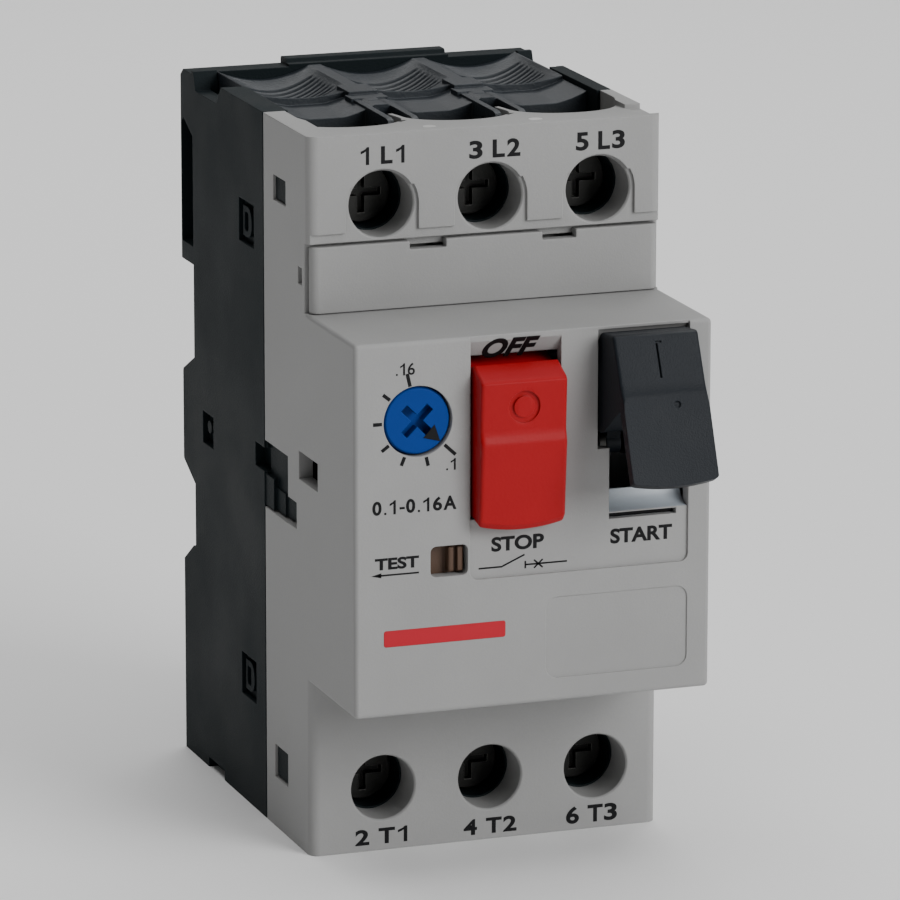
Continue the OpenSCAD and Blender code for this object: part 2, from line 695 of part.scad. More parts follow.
module striker_1() color([0.62, 0.63, 0.65]) from_seat() striker(0);
module striker_2() color([0.62, 0.63, 0.65]) from_seat() striker(1);
module striker_3() color([0.62, 0.63, 0.65]) from_seat() striker(2);

module striker_springs() color([0.75, 0.75, 0.76]) from_seat() {
    for (x = pole_x) coil_y(1.7, 0.2, x, [-28.28, -22.02], coil_z, 4);
}

// ---------- thermal release ----------

module bimetal_strips() color([0.7, 0.66, 0.55]) from_seat() {
    for (x = pole_x) {
        box([x - 0.4, x + 0.4], [-29.8, -4], [strip_z - 2.25, strip_z + 2.25]);
        box([x - 0.4, x + 3.6], [-5, -4], [strip_z - 2.25, strip_z + 2.25]);
        box([x + 1.6, x + 3.6], [-4.1, base_floor_y], [strip_z - 1.25, strip_z + 1.25]);
    }
}

// Flat ribbon wound round each strip
module heater_windings() color([0.72, 0.55, 0.42]) from_seat() {
    for (x = pole_x) {
        for (k = [0:6]) {
            y = -21.5 + 1.9 * k;
            difference() {
                box([x - 1.5, x + 1.5], [y, y + 1], [strip_z - 3.3, strip_z + 3.3]);
                box([x - 0.9, x + 0.9], [y - 1, y + 2], [strip_z - 2.7, strip_z + 2.7]);
            }
            if (k < 6) box([x + 0.9, x + 1.5], [y + 0.9, y + 2], [strip_z - 3.3, strip_z - 2.5]);
        }
    }
}

// Bar across all poles that the strips push sideways
module trip_slide(y) {
    difference() {
        box([-18.6, 18.9], [y, y + 0.9], [strip_z - 3.2, strip_z + 3.2]);
        for (x = pole_x) box([x - 1.9, x + 0.6], [y - 1, y + 2], [strip_z - 2.6, strip_z + 2.6]);
    }
}

module thermal_slide() color([0.84, 0.82, 0.74]) from_seat() {
    trip_slide(-28.9);
    // Finger towards the compensating strip
    box([-16.6, -15.4], [-32.8, -28.5], [strip_z + 2.2, strip_z + 3.2]);
}
module differential_slide() color([0.8, 0.77, 0.68]) from_seat() trip_slide(-27.4);

// ---------- terminals ----------

module terminal_plates(z) {
    for (x = pole_x) difference() {
        union() {
            box([x - 4.8, x + 4.8], [plate_y, plate_y + plate_t], [27.6, z + 4.4]);
            box([x - 4.8, x + 4.8], [plate_y, -16], [27.6, 29.3]);
        }
        cyl_y(screw_d / 2 + 0.05, x, [plate_y - 1, plate_y + 3], z);
    }
}

module line_terminals() color([0.8, 0.66, 0.4]) from_seat() terminal_plates(line_screw_z);
module load_terminals() color([0.8, 0.66, 0.4]) from_seat() mirror([0, 0, 1]) terminal_plates(load_screw_z);

module terminal_screw(i, z) {
    x = pole_x[i];
    difference() {
        union() {
            cyl_y(head_r, x, [head_y, head_y + head_h], z);
            cyl_y(screw_d / 2, x, [head_y + head_h - 0.1, -23.2], z);
        }
        for (a = [0, 90]) translate([x, head_y, z]) rotate([0, a, 0]) cube([5, 2.4, 0.9], center = true);
    }
}

module clamp_plate(i, z) {
    x = pole_x[i];
    difference() {
        box([x - 4.6, x + 4.6], [clamp_y, clamp_y + 1.2], [z - 4.2, z + 4.2]);
        cyl_y(screw_d / 2 + 0.1, x, [clamp_y - 1, clamp_y + 3], z);
    }
}

// Dark collars behind the access bores, round the screw heads
module terminal_shrouds() color([0.13, 0.14, 0.15]) from_seat() {
    for (x = pole_x) for (z = [line_screw_z, -load_screw_z]) difference() {
        cyl_y(4.9, x, [pocket_y, pocket_y + 5], z);
        cyl_y(3.85, x, [pocket_y - 1, pocket_y + 6], z);
    }
}

module line_screw_1() color([0.72, 0.72, 0.7]) from_seat() terminal_screw(0, line_screw_z);
module line_screw_2() color([0.72, 0.72, 0.7]) from_seat() terminal_screw(1, line_screw_z);
module line_screw_3() color([0.72, 0.72, 0.7]) from_seat() terminal_screw(2, line_screw_z);
module load_screw_1() color([0.72, 0.72, 0.7]) from_seat() terminal_screw(0, -load_screw_z);
module load_screw_2() color([0.72, 0.72, 0.7]) from_seat() terminal_screw(1, -load_screw_z);
module load_screw_3() color([0.72, 0.72, 0.7]) from_seat() terminal_screw(2, -load_screw_z);
module line_clamp_1() color([0.66, 0.66, 0.64]) from_seat() clamp_plate(0, line_screw_z);
module line_clamp_2() color([0.66, 0.66, 0.64]) from_seat() clamp_plate(1, line_screw_z);
module line_clamp_3() color([0.66, 0.66, 0.64]) from_seat() clamp_plate(2, line_screw_z);
module load_clamp_1() color([0.66, 0.66, 0.64]) from_seat() clamp_plate(0, -load_screw_z);
module load_clamp_2() color([0.66, 0.66, 0.64]) from_seat() clamp_plate(1, -load_screw_z);
module load_clamp_3() color([0.66, 0.66, 0.64]) from_seat() clamp_plate(2, -load_screw_z);

// ---------- rail clip ----------

module rail_clip() color([0.18, 0.19, 0.2]) {
    difference() {
        union() {
            box([-9, 10], [1.05, 2.4], [-41.9, -recess_half - 0.6]);
            side_profile([[1.15, -42.7], [3.9, -42.7], [3.9, -recess_half - 0.5], [2, -recess_half + 1.7],
                [1.15, -recess_half + 1.7]], [-7.2, 8.2]);
        }
        // Window of the clip spring, and the slot for a screwdriver
        box([-1, 2], [0, 5], [-36.6, -27]);
        box([-2, 3], [2.6, 5], [-42, -40.2]);
    }
}

module rail_clip_spring() color([0.75, 0.75, 0.76]) {
    swept_wire([for (i = [0:60]) let (a = 30 * i)
        [0.5 + 0.95 * cos(a), 2.4 + 0.95 * sin(a), -34.55 + 7.3 * i / 60]], 0.22, 6);
}

base_housing();
front_housing();
accessory_cover();
upper_wire_guide();
lower_wire_guide();
start_button();
stop_button();
button_pivot_pin();
start_spring();
stop_spring();
setting_dial();
adjust_lever();
test_slide();
test_spring();
mechanism_frame();
drive_link();
drive_link_pin();
latch_hook();
latch_pin();
trip_bar();
contact_carrier();
contact_bridges();
contact_springs();
line_fixed_contacts();
load_fixed_contacts();
arc_splitter_plates();
arc_chute_cheeks();
magnet_coils();
coil_bobbins();
magnet_yokes();
striker_springs();
striker_1();
striker_2();
striker_3();
bimetal_strips();
heater_windings();
thermal_slide();
differential_slide();
line_terminals();
load_terminals();
terminal_shrouds();
line_screw_1();
line_screw_2();
line_screw_3();
load_screw_1();
load_screw_2();
load_screw_3();
line_clamp_1();
line_clamp_2();
line_clamp_3();
load_clamp_1();
load_clamp_2();
load_clamp_3();
rail_clip();
rail_clip_spring();
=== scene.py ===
"""Looks of a three-pole motor protection breaker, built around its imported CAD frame.

Pieces are drawn in millimetres about the middle of the case (+Z up, front towards -Y), and piece()
moves each one to the rail seat and scales it to metres."""

import json
import math

import bmesh
import bpy
from mathutils import Matrix, Vector


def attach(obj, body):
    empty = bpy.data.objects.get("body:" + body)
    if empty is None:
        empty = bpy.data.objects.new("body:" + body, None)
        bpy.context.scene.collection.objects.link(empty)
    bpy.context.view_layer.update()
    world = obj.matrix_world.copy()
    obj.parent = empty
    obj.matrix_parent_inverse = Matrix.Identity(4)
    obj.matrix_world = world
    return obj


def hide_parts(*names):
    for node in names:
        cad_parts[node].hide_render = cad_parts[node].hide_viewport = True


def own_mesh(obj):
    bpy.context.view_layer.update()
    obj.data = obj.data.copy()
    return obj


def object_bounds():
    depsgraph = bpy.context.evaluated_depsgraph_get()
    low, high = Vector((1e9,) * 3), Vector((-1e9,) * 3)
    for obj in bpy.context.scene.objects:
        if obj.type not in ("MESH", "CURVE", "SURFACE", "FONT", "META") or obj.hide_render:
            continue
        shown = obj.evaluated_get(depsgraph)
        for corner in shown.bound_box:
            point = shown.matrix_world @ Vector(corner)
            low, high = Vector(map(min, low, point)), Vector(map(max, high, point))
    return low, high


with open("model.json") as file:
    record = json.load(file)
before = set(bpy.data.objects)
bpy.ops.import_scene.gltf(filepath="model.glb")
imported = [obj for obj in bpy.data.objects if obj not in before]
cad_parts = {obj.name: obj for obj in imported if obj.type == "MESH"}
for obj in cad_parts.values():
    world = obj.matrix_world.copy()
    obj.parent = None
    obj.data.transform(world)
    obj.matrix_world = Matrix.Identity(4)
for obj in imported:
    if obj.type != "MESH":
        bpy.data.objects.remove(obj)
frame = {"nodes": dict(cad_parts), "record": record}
cad_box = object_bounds()
SCENE = bpy.context.scene
PER_METRE = 1000
TO_FRAME = Matrix.Scale(1 / PER_METRE, 4) @ Matrix.Translation((0, -1.5, -1.45))
# Case in millimetres: the poles and the middles between them, half sizes, the faces from the front of
# the block to the rear, the span of the three pole cells, and half the width of one
POLES = (-13.2, 0.6, 14.4)
BETWEEN = (-6.3, 7.5)
HALF_W, HALF_H = 22.5, 44.5
FACE, TERM, JOINT, REAR = -61.3, -44.4, -27.3, 6.8
PANEL = FACE + 0.3
CELLS = (-19.4, 20.6)
CELL_HALF = 6.2
# Heights of the terminal bores, the snap tongues and the snap pockets
LINE_Z, LOAD_Z = 35.8, -36.6
TONGUES = (36.05, -36)
POCKETS = (29.5, -28.2)
# Middle of the dial in (x, z), axis of both buttons in (y, z), and half the width of a cap
DIAL = (-14.6, 13.2)
PIVOT = (-54.7, 18.4)
CAP_HALF = 5.4
# Printing stands this far out of its surface, and reaches this far into it
INK_OUT, INK_IN = 0.025, 0.04
# Cutting tools reach past the sides, the ends, the block face, the terminal face and the joint
WIDE = (-HALF_W - 1, HALF_W + 1)
TOP_CUT, FACE_CUT, TERM_CUT = HALF_H + 1, FACE - 1, TERM - 1
BEHIND_JOINT, AHEAD_OF_JOINT = JOINT + 1, JOINT - 1

# ---------- mesh helpers ----------


def link(name, bm):
    bmesh.ops.recalc_face_normals(bm, faces=bm.faces)
    mesh = bpy.data.meshes.new(name)
    bm.to_mesh(mesh)
    bm.free()
    obj = bpy.data.objects.new(name, mesh)
    SCENE.collection.objects.link(obj)
    return obj


def place(axis, u, v, t):
    """Point at t along the axis and at (u, v) across it."""
    return {"x": (t, u, v), "y": (u, t, v), "z": (u, v, t)}[axis]


def skin(bm, rings):
    """Closes rings of vertices into a solid."""
    bm.faces.new(rings[0])
    bm.faces.new(rings[-1][::-1])
    for low, high in zip(rings, rings[1:]):
        n = len(low)
        for i in range(n):
            bm.faces.new((low[i], low[(i + 1) % n], high[(i + 1) % n], high[i]))


def loft(axis, sections):
    """Closed solid through outlines, each (position along axis, points across it)."""
    bm = bmesh.new()
    skin(bm, [[bm.verts.new(place(axis, *p, t)) for p in outline] for t, outline in sections])
    return link("loft", bm)


def coil(axis, centre, radius, wire, ends, turns):
    """Compression spring between two ends, its first and last turns closed up."""
    steps, sides = 24, 10
    closed = 2.1 * wire
    free = ends[1] - ends[0] - 2 * wire - 2 * closed
    bm = bmesh.new()
    rings = []
    for i in range(turns * steps + 1):
        turn = i / steps
        if turn < 1:
            rise = closed * turn
        elif turn > turns - 1:
            rise = closed + free + closed * (turn - turns + 1)
        else:
            rise = closed + free * (turn - 1) / (turns - 2)
        row = []
        for k in range(sides):
            a = 2 * math.pi * k / sides
            r = radius + wire * math.cos(a)
            t = ends[0] + wire + rise + wire * math.sin(a)
            u = centre[0] + r * math.cos(2 * math.pi * turn)
            v = centre[1] + r * math.sin(2 * math.pi * turn)
            row.append(bm.verts.new(place(axis, u, v, t)))
        rings.append(row)
    skin(bm, rings)
    return link("coil", bm)


def prism(axis, outline, lo, hi):
    return loft(axis, [(lo, outline), (hi, outline)])


def box(x, y, z):
    return prism("z", [(x[0], y[0]), (x[1], y[0]), (x[1], y[1]), (x[0], y[1])], z[0], z[1])


def ring(c, r, n=64):
    angles = [2 * math.pi * i / n for i in range(n)]
    return [(c[0] + r * math.cos(a), c[1] + r * math.sin(a)) for a in angles]


def rod(axis, r, c, lo, hi, n=64):
    return prism(axis, ring(c, r, n), lo, hi)


def rounded(x, z, r, n=5):
    """Rectangle with round corners, as points."""
    points = []
    corners = ((x[1] - r, z[1] - r), (x[0] + r, z[1] - r), (x[0] + r, z[0] + r), (x[1] - r, z[0] + r))
    for quarter, (cx, cz) in enumerate(corners):
        for i in range(n + 1):
            t = math.radians(90 * quarter + 90 * i / n)
            points.append((cx + r * math.cos(t), cz + r * math.sin(t)))
    return points


def span(side, near, far):
    """Interval between two distances from the middle plane, on one side of it."""
    return sorted((side * near, side * far))


def posed(obj, degrees, turning, origin):
    """Turns a tool about an axis through its own origin, and moves this to a point."""
    turn = Matrix.Rotation(math.radians(degrees), 4, turning)
    obj.data.transform(Matrix.Translation(origin) @ turn)
    return obj


def settle(obj):
    """Applies the modifiers."""
    bpy.context.view_layer.update()
    depsgraph = bpy.context.evaluated_depsgraph_get()
    mesh = bpy.data.meshes.new_from_object(
        obj.evaluated_get(depsgraph), preserve_all_data_layers=True, depsgraph=depsgraph
    )
    obj.modifiers.clear()
    obj.data = mesh
    return obj


def combine(obj, tools, how="DIFFERENCE"):
    for tool in tools:
        m = obj.modifiers.new("combine", "BOOLEAN")
        m.operation = how
        m.solver = "MANIFOLD"
        m.object = tool
    settle(obj)
    for tool in tools:
        bpy.data.objects.remove(tool)
    return obj


def soften(obj, width, chosen, segments=3):
    """Rounds the edges for which chosen(middle, direction) is true."""
    bm = bmesh.new()
    bm.from_mesh(obj.data)
    edges = []
    for e in bm.edges:
        a, b = e.verts[0].co, e.verts[1].co
        if chosen((a + b) / 2, (b - a).normalized()):
            edges.append(e)
    bmesh.ops.bevel(
        bm, geom=edges, offset=width, segments=segments, profile=0.5, affect="EDGES", clamp_overlap=True
    )
    bm.to_mesh(obj.data)
    bm.free()
    return obj


def piece(obj, name, body, look, replaces=(), bevel=0.12):
    """Rounds the remaining edges, scales to metres and puts the piece on its body."""
    obj.name = name
    if bevel:
        m = obj.modifiers.new("edge", "BEVEL")
        m.width = bevel
        m.segments = 2
        m.limit_method = "ANGLE"
        m.angle_limit = math.radians(34)
        m.use_clamp_overlap = True
        m.miter_outer = "MITER_ARC"
    settle(obj)
    obj.data.name = name
    obj.data.transform(TO_FRAME)
    for p in obj.data.polygons:
        p.use_smooth = True
    obj.data.set_sharp_from_angle(angle=math.radians(40))
    m = obj.modifiers.new("normals", "WEIGHTED_NORMAL")
    m.keep_sharp = True
    settle(obj)
    obj.data.materials.clear()
    obj.data.materials.append(LOOKS[look])
    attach(obj, body)
    if replaces:
        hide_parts(*replaces)
    return obj


def on_case(obj, name, look="ink"):
    """Small piece or printing that lies on the grey case."""
    return piece(obj, name, "housing", look, bevel=0)


# ---------- materials ----------

# Size of the broad patches of tone, and radius of the rounded edges, which are also painted lighter as wear
# and as a painted highlight, in millimetres
PATCH = 14.0
EDGE = 0.18


def material(
    name, base, rough, metal=0.0, *, grain, bump, vary, wear_and_highlight=0, wear_and_highlight_tint=None, stretch=(1, 1, 1), gleam=0.5
):
    """Plastic or metal with a fine grain (mm), tone and roughness variation, and edges painted lighter,
    partly as wear and partly as a painted highlight.
    """
    mat = bpy.data.materials.new(name)
    mat.use_nodes = True
    tree = mat.node_tree
    nodes, links = tree.nodes, tree.links
    shader = nodes["Principled BSDF"]
    shader.inputs["Metallic"].default_value = metal
    shader.inputs["Specular IOR Level"].default_value = gleam
    coords = nodes.new("ShaderNodeTexCoord")
    mapping = nodes.new("ShaderNodeMapping")
    mapping.inputs["Scale"].default_value = stretch
    links.new(coords.outputs["Object"], mapping.inputs["Vector"])

    def noise(size_mm, detail=3.0):
        n = nodes.new("ShaderNodeTexNoise")
        n.inputs["Scale"].default_value = PER_METRE / size_mm
        n.inputs["Detail"].default_value = detail
        links.new(mapping.outputs["Vector"], n.inputs["Vector"])
        return n.outputs["Fac"]

    def spread(value, low, high):
        """Maps the usual range of a noise onto low to high."""
        m = nodes.new("ShaderNodeMapRange")
        m.inputs["From Min"].default_value = 0.3
        m.inputs["From Max"].default_value = 0.7
        m.inputs["To Min"].default_value = low
        m.inputs["To Max"].default_value = high
        links.new(value, m.inputs["Value"])
        return m.outputs["Result"]

    def mix(fac, a, b):
        m = nodes.new("ShaderNodeMix")
        m.data_type = "RGBA"
        for socket, value in ((m.inputs["Factor"], fac), (m.inputs["A"], a), (m.inputs["B"], b)):
            if isinstance(value, bpy.types.NodeSocket):
                links.new(value, socket)
            else:
                socket.default_value = value if isinstance(value, float) else (*value, 1.0)
        return m.outputs["Result"]

    fine, broad = noise(grain), noise(PATCH, 4.0)
    darker = tuple(c * (1 - vary) for c in base)
    lighter = tuple(min(1.0, c * (1 + vary)) for c in base)
    tone = mix(spread(broad, 0.0, 1.0), darker, lighter)
    tone = mix(spread(noise(grain * 1.7, 2.0), 0.0, 0.35), tone, darker)
    rounded_edge = nodes.new("ShaderNodeBevel")
    rounded_edge.samples = 4
    rounded_edge.inputs["Radius"].default_value = EDGE / PER_METRE
    # Edges get a lighter tint: partly wear, partly a painted highlight on the rounded edges
    if wear_and_highlight:
        geometry = nodes.new("ShaderNodeNewGeometry")
        dot = nodes.new("ShaderNodeVectorMath")
        dot.operation = "DOT_PRODUCT"
        links.new(rounded_edge.outputs["Normal"], dot.inputs[0])
        links.new(geometry.outputs["Normal"], dot.inputs[1])
        worn_and_lit = nodes.new("ShaderNodeMapRange")
        worn_and_lit.inputs["From Min"].default_value = 0.99
        worn_and_lit.inputs["From Max"].default_value = 0.8
        worn_and_lit.inputs["To Max"].default_value = wear_and_highlight
        links.new(dot.outputs["Value"], worn_and_lit.inputs["Value"])
        tone = mix(worn_and_lit.outputs["Result"], tone, wear_and_highlight_tint)
    links.new(tone, shader.inputs["Base Color"])
    links.new(spread(broad, rough - 0.05, rough + 0.07), shader.inputs["Roughness"])
    height = nodes.new("ShaderNodeBump")
    height.inputs["Strength"].default_value = bump
    height.inputs["Distance"].default_value = grain / PER_METRE
    links.new(fine, height.inputs["Height"])
    links.new(rounded_edge.outputs["Normal"], height.inputs["Normal"])
    links.new(height.outputs["Normal"], shader.inputs["Normal"])
    return mat


# The wear amounts and tints below paint edges lighter, partly as wear and partly as a painted highlight
LOOKS = {
    "grey": material(
        "grey_moulding", (0.300, 0.300, 0.297), 0.50, grain=0.22, bump=0.12, vary=0.05,
        wear_and_highlight=0.35, wear_and_highlight_tint=(0.5, 0.5, 0.49), gleam=0.2,
    ),
    # Lighter grey that paints a sheen on the ejector marks
    "painted_sheen": material(
        "pin_mark_painted_sheen", (0.50, 0.50, 0.49), 0.30, grain=0.2, bump=0.05, vary=0.03,
    ),
    "black": material(
        "black_moulding", (0.0066, 0.0112, 0.0130), 0.55, grain=0.25, bump=0.22, vary=0.18,
        wear_and_highlight=0.4, wear_and_highlight_tint=(0.055, 0.065, 0.072), gleam=0.08,
    ),
    "guide": material(
        "guide_moulding", (0.0180, 0.0230, 0.0285), 0.40, grain=0.30, bump=0.20, vary=0.15,
        wear_and_highlight=0.5, wear_and_highlight_tint=(0.12, 0.135, 0.15), gleam=0.25,
    ),
    "start": material(
        "start_moulding", (0.0085, 0.0112, 0.0150), 0.46, grain=0.20, bump=0.30, vary=0.15,
        wear_and_highlight=0.4, wear_and_highlight_tint=(0.07, 0.08, 0.09), gleam=0.15,
    ),
    "red": material(
        "stop_moulding", (0.33, 0.004, 0.008), 0.40, grain=0.35, bump=0.06, vary=0.06,
        wear_and_highlight=0.3, wear_and_highlight_tint=(0.6, 0.05, 0.05), gleam=0.15,
    ),
    "blue": material(
        "dial_moulding", (0.0005, 0.036, 0.215), 0.44, grain=0.2, bump=0.08, vary=0.08,
        wear_and_highlight=0.3, wear_and_highlight_tint=(0.03, 0.15, 0.5), gleam=0.12,
    ),
    "brown": material(
        "test_moulding", (0.085, 0.048, 0.03), 0.5, grain=0.2, bump=0.12, vary=0.12,
        wear_and_highlight=0.4, wear_and_highlight_tint=(0.25, 0.18, 0.13), gleam=0.3,
    ),
    "apron": material(
        "light_moulding", (0.36, 0.40, 0.44), 0.35, grain=0.2, bump=0.08, vary=0.04,
        wear_and_highlight=0.2, wear_and_highlight_tint=(0.7, 0.72, 0.74),
    ),
    "cream": material(
        "cream_moulding", (0.62, 0.58, 0.47), 0.5, grain=0.2, bump=0.1, vary=0.06,
        wear_and_highlight=0.25, wear_and_highlight_tint=(0.8, 0.78, 0.7),
    ),
    "fibre": material(
        "pressed_fibre", (0.6, 0.55, 0.45), 0.75, grain=0.12, bump=0.4, vary=0.12,
        wear_and_highlight=0.2, wear_and_highlight_tint=(0.75, 0.72, 0.62),
    ),
    "zinc": material(
        "zinc_plate", (0.56, 0.57, 0.58), 0.30, metal=1.0, grain=0.4, bump=0.06, vary=0.08,
        wear_and_highlight=0.3, wear_and_highlight_tint=(0.8, 0.8, 0.8),
    ),
    # Steel darkened as painted shade, for the screws deep in their bores and the drive link deep in the
    # housing
    "screw": material(
        "screw_steel", (0.05, 0.05, 0.048), 0.45, metal=1.0, grain=0.3, bump=0.1, vary=0.12,
        wear_and_highlight=0.35, wear_and_highlight_tint=(0.75, 0.74, 0.7),
    ),
    "spring": material(
        "spring_wire", (0.50, 0.50, 0.51), 0.26, metal=1.0, grain=0.15, bump=0.05, vary=0.08,
        stretch=(1, 1, 0.3),
    ),
    "brass": material(
        "brass_strip", (0.70, 0.52, 0.24), 0.30, metal=1.0, grain=0.3, bump=0.06, vary=0.1,
        wear_and_highlight=0.3, wear_and_highlight_tint=(0.9, 0.78, 0.5),
    ),
    "copper": material(
        "copper_strip", (0.72, 0.36, 0.20), 0.32, metal=1.0, grain=0.3, bump=0.06, vary=0.12,
        wear_and_highlight=0.3, wear_and_highlight_tint=(0.9, 0.6, 0.42),
    ),
    "bimetal": material(
        "rolled_bimetal", (0.48, 0.43, 0.34), 0.34, metal=1.0, grain=0.2, bump=0.08, vary=0.12,
        wear_and_highlight=0.2, wear_and_highlight_tint=(0.7, 0.66, 0.55), stretch=(1, 0.25, 1),
    ),
    "ink": material(
        "printed_ink", (0.006, 0.006, 0.007), 0.5, grain=0.15, bump=0.04, vary=0.2,
        gleam=0.15,
    ),
    "stripe": material(
        "printed_red", (0.44, 0.012, 0.025), 0.45, grain=0.15, bump=0.04, vary=0.05,
        gleam=0.2,
    ),
}
SLOT_LOOK = {
    "black_plastic": "black", "grey_plastic": "grey", "start_black": "start", "stop_red": "red",
    "dial_blue": "blue", "test_brown": "brown", "spring_steel": "spring", "plated_steel": "zinc",
    "screw_steel": "screw", "brass": "brass", "copper": "copper", "bimetal": "bimetal",
    "cream_plastic": "cream", "fibre_board": "fibre", "carrier_black": "black",
}
for part in frame["record"]["subparts"]:
    mesh = frame["nodes"][part["node"]].data
    mesh.materials.clear()
    # The drive link shows through the START window, deep in the housing, and takes the darkened steel as
    # painted shade
    look = "screw" if part["node"] == "drive_link" else SLOT_LOOK[part["material_slot"]]
    mesh.materials.append(LOOKS[look])

# ---------- front housing ----------


def turn_over(obj):
    """Mirrors a piece or tool from the upper end to the lower end."""
    obj.data.transform(Matrix.Scale(-1, 4, (0, 0, 1)))
    obj.data.flip_normals()
    return obj


def at_ends(make):
    """The same tool at the upper end, and turned over at the lower end."""
    return [make(), turn_over(make())]


def front_outer(m, d):
    return abs(m.x) > HALF_W - 0.01 and m.y < TERM + 0.01 and abs(d.z) > 0.9


case = box((-HALF_W, HALF_W), (TERM, JOINT), (-HALF_H, HALF_H))
soften(case, 1.3, front_outer, 6)
soften(case, 0.5, lambda m, d: m.y < TERM + 0.01 and abs(d.x) > 0.9 and abs(m.z) > HALF_H - 0.01)
block = box((-HALF_W, HALF_W), (FACE, -42.6), (-22.6, 22.9))
soften(block, 0.55, lambda m, d: m.y < FACE + 0.01 or abs(d.y) > 0.9, 4)
combine(case, [block], "UNION")
cuts = [box((-20.7, 20.7), (-59.6, BEHIND_JOINT), (-21, 21.3))]
entry, half_circle = 6.6, [math.pi * i / 48 for i in range(49)]
for x in POLES:
    cell = (x - CELL_HALF, x + CELL_HALF)
    cuts += at_ends(lambda: box(cell, (TERM + 5, BEHIND_JOINT), (22.9, 41.6)))
    # Wire entry with a round front, open to the rear
    dip = [(x - entry, -26), (x + entry, -26)]
    dip += [(x + entry * math.cos(a), -31.2 - entry * math.sin(a)) for a in half_circle]
    cuts += at_ends(lambda: prism("z", dip, 40.6, 46))
    for z in (LINE_Z, LOAD_Z):
        # Screw bore with a chamfered rim, which the step of the upper bores sets back
        back = 0.4 if z > 0 else 0
        rim = ((-46, 4.6), (TERM - 0.02, 4.27), (TERM + 0.24, 4.05), (TERM + 6, 4.05))
        cuts.append(loft("y", [(y + back, ring((x, z), r, 72)) for y, r in rim]))
# The top and bottom walls fall a little towards the wire entries, with small notches between these
fall = [(-43.4, HALF_H + 0.01), (-26, 43.2), (-26, 47), (-43.4, 47)]
cuts += at_ends(lambda: prism("x", fall, -19.3, 20.5))
for x in BETWEEN:
    notch = [(x - 2.7, -34.5), (x - 1.5, -35.75), (x - 0.3, -34.5), (x - 1.5, -33.3)]
    cuts += at_ends(lambda: prism("z", notch, 41, 46))
# Cover seat, auxiliary pocket, and the step round the upper bores
cuts.append(box(WIDE, (TERM_CUT, TERM + 1.6), (22.9, 31.45)))
cuts.append(box((-17, 17), (TERM + 1, TERM + 4), (24, 30.4)))
step, step_r = TERM + 0.4, 4.62
for x in POLES:
    arch = [p for p in ring((x, LINE_Z), step_r, 72) if LINE_Z - 0.05 < p[1] < LINE_Z + 2.6]
    foot = [(x + step_r, 32.1), (x + 5.0, 31.4), (x - 5.0, 31.4), (x - step_r, 32.1)]
    cuts.append(prism("y", sorted(arch, key=lambda p: p[0]) + foot, TERM_CUT, step))
cuts.append(box(WIDE, (TERM_CUT, step), (30.1, 32.6)))
# Control panel, the windows of STOP and START, the foot of START, and the groove of the bar below it
cuts.append(prism("y", rounded((-8.1, 19.65), (-6.7, 26), 1.0), FACE_CUT, PANEL))
stop_window = [(FACE_CUT, 0.6), (FACE_CUT, 22.6), (FACE, 22.6), (-59.2, 19.6), (-59.2, 0.6)]
start_window = [(FACE_CUT, 7.95), (FACE_CUT, 22.5), (-60.5, 22.5), (-59.5, 20.8), (-59.5, 7.95)]
cuts.append(prism("x", stop_window, -7.95, 3.45))
cuts.append(prism("x", start_window, 8.1, 19.6))
cuts.append(box((9.6, 19.6), (FACE_CUT, -59.2), (0.1, 9)))
cuts.append(box((9.6, 18.2), (FACE_CUT, -60), (-0.75, -0.05)))
# Dial well, TEST slot and label field
cuts.append(rod("y", 4.3, DIAL, FACE_CUT, -58.6, 96))
cuts.append(prism("y", rounded((-13.05, -8.35), (-5.95, -2.2), 0.7), FACE_CUT, -58.6))
cuts.append(prism("y", rounded((1.55, 19.6), (-19.7, -9.7), 1.4), FACE_CUT, FACE + 0.15))
# Snap windows, notches in the block and in the cover seat, and the two steps of the latch notch
side_cuts = (
    (3.2, (-35.8, -31), (34.5, 37.6)),
    (3.2, (-35.7, -30.6), (-38.1, -33.9)),
    (2.0, (-47.6, -40.4), (2, 5.5)),
    (0.8, (-41.9, -40.4), (26.1, 28.2)),
    (1.5, (-36.2, BEHIND_JOINT), (-4.6, 3.8)),
    (1.5, (-39.5, -36), (-4.5, -1.2)),
)
for side in (-1, 1):
    cuts += [box(span(side, HALF_W - deep, HALF_W + deep), y, z) for deep, y, z in side_cuts]
    # Slots of the snap tongues
    for z in TONGUES:
        cuts.append(box(span(side, 20.4, 21.2), (-36.5, BEHIND_JOINT), (z - 2.4, z + 2.4)))
# Low corner of the top wall
cuts.append(box((20.4, WIDE[1]), (-43.4, -37), (43.85, 46)))
combine(case, cuts)
piece(case, "case_front", "housing", "grey", ["front_housing"], bevel=0.13)

# Light curved apron at the foot of the START window
curve = [(-60.95, 0.12), (-60.2, 0.3), (-59.5, 0.65), (-59.0, 1.15), (-58.7, 1.75), (-58.55, 2.3)]
apron = prism("x", curve + [(y + 0.5, z - 0.3) for y, z in reversed(curve)], 9.65, 19.55)
on_case(apron, "start_apron", "apron")
# Round ejector marks on the top wall, coloured lighter grey as a painted sheen
for i, middle in enumerate(((-6.4, -41.9), (7.2, -41.7))):
    top = HALF_H - 0.09
    mark = loft("z", [(top + up, ring(middle, r, 40)) for up, r in ((-0.3, 0.85), (0, 0.85), (0.04, 0.7))])
    on_case(mark, f"ejector_mark_{i + 1}", "painted_sheen")

# ---------- accessory cover ----------

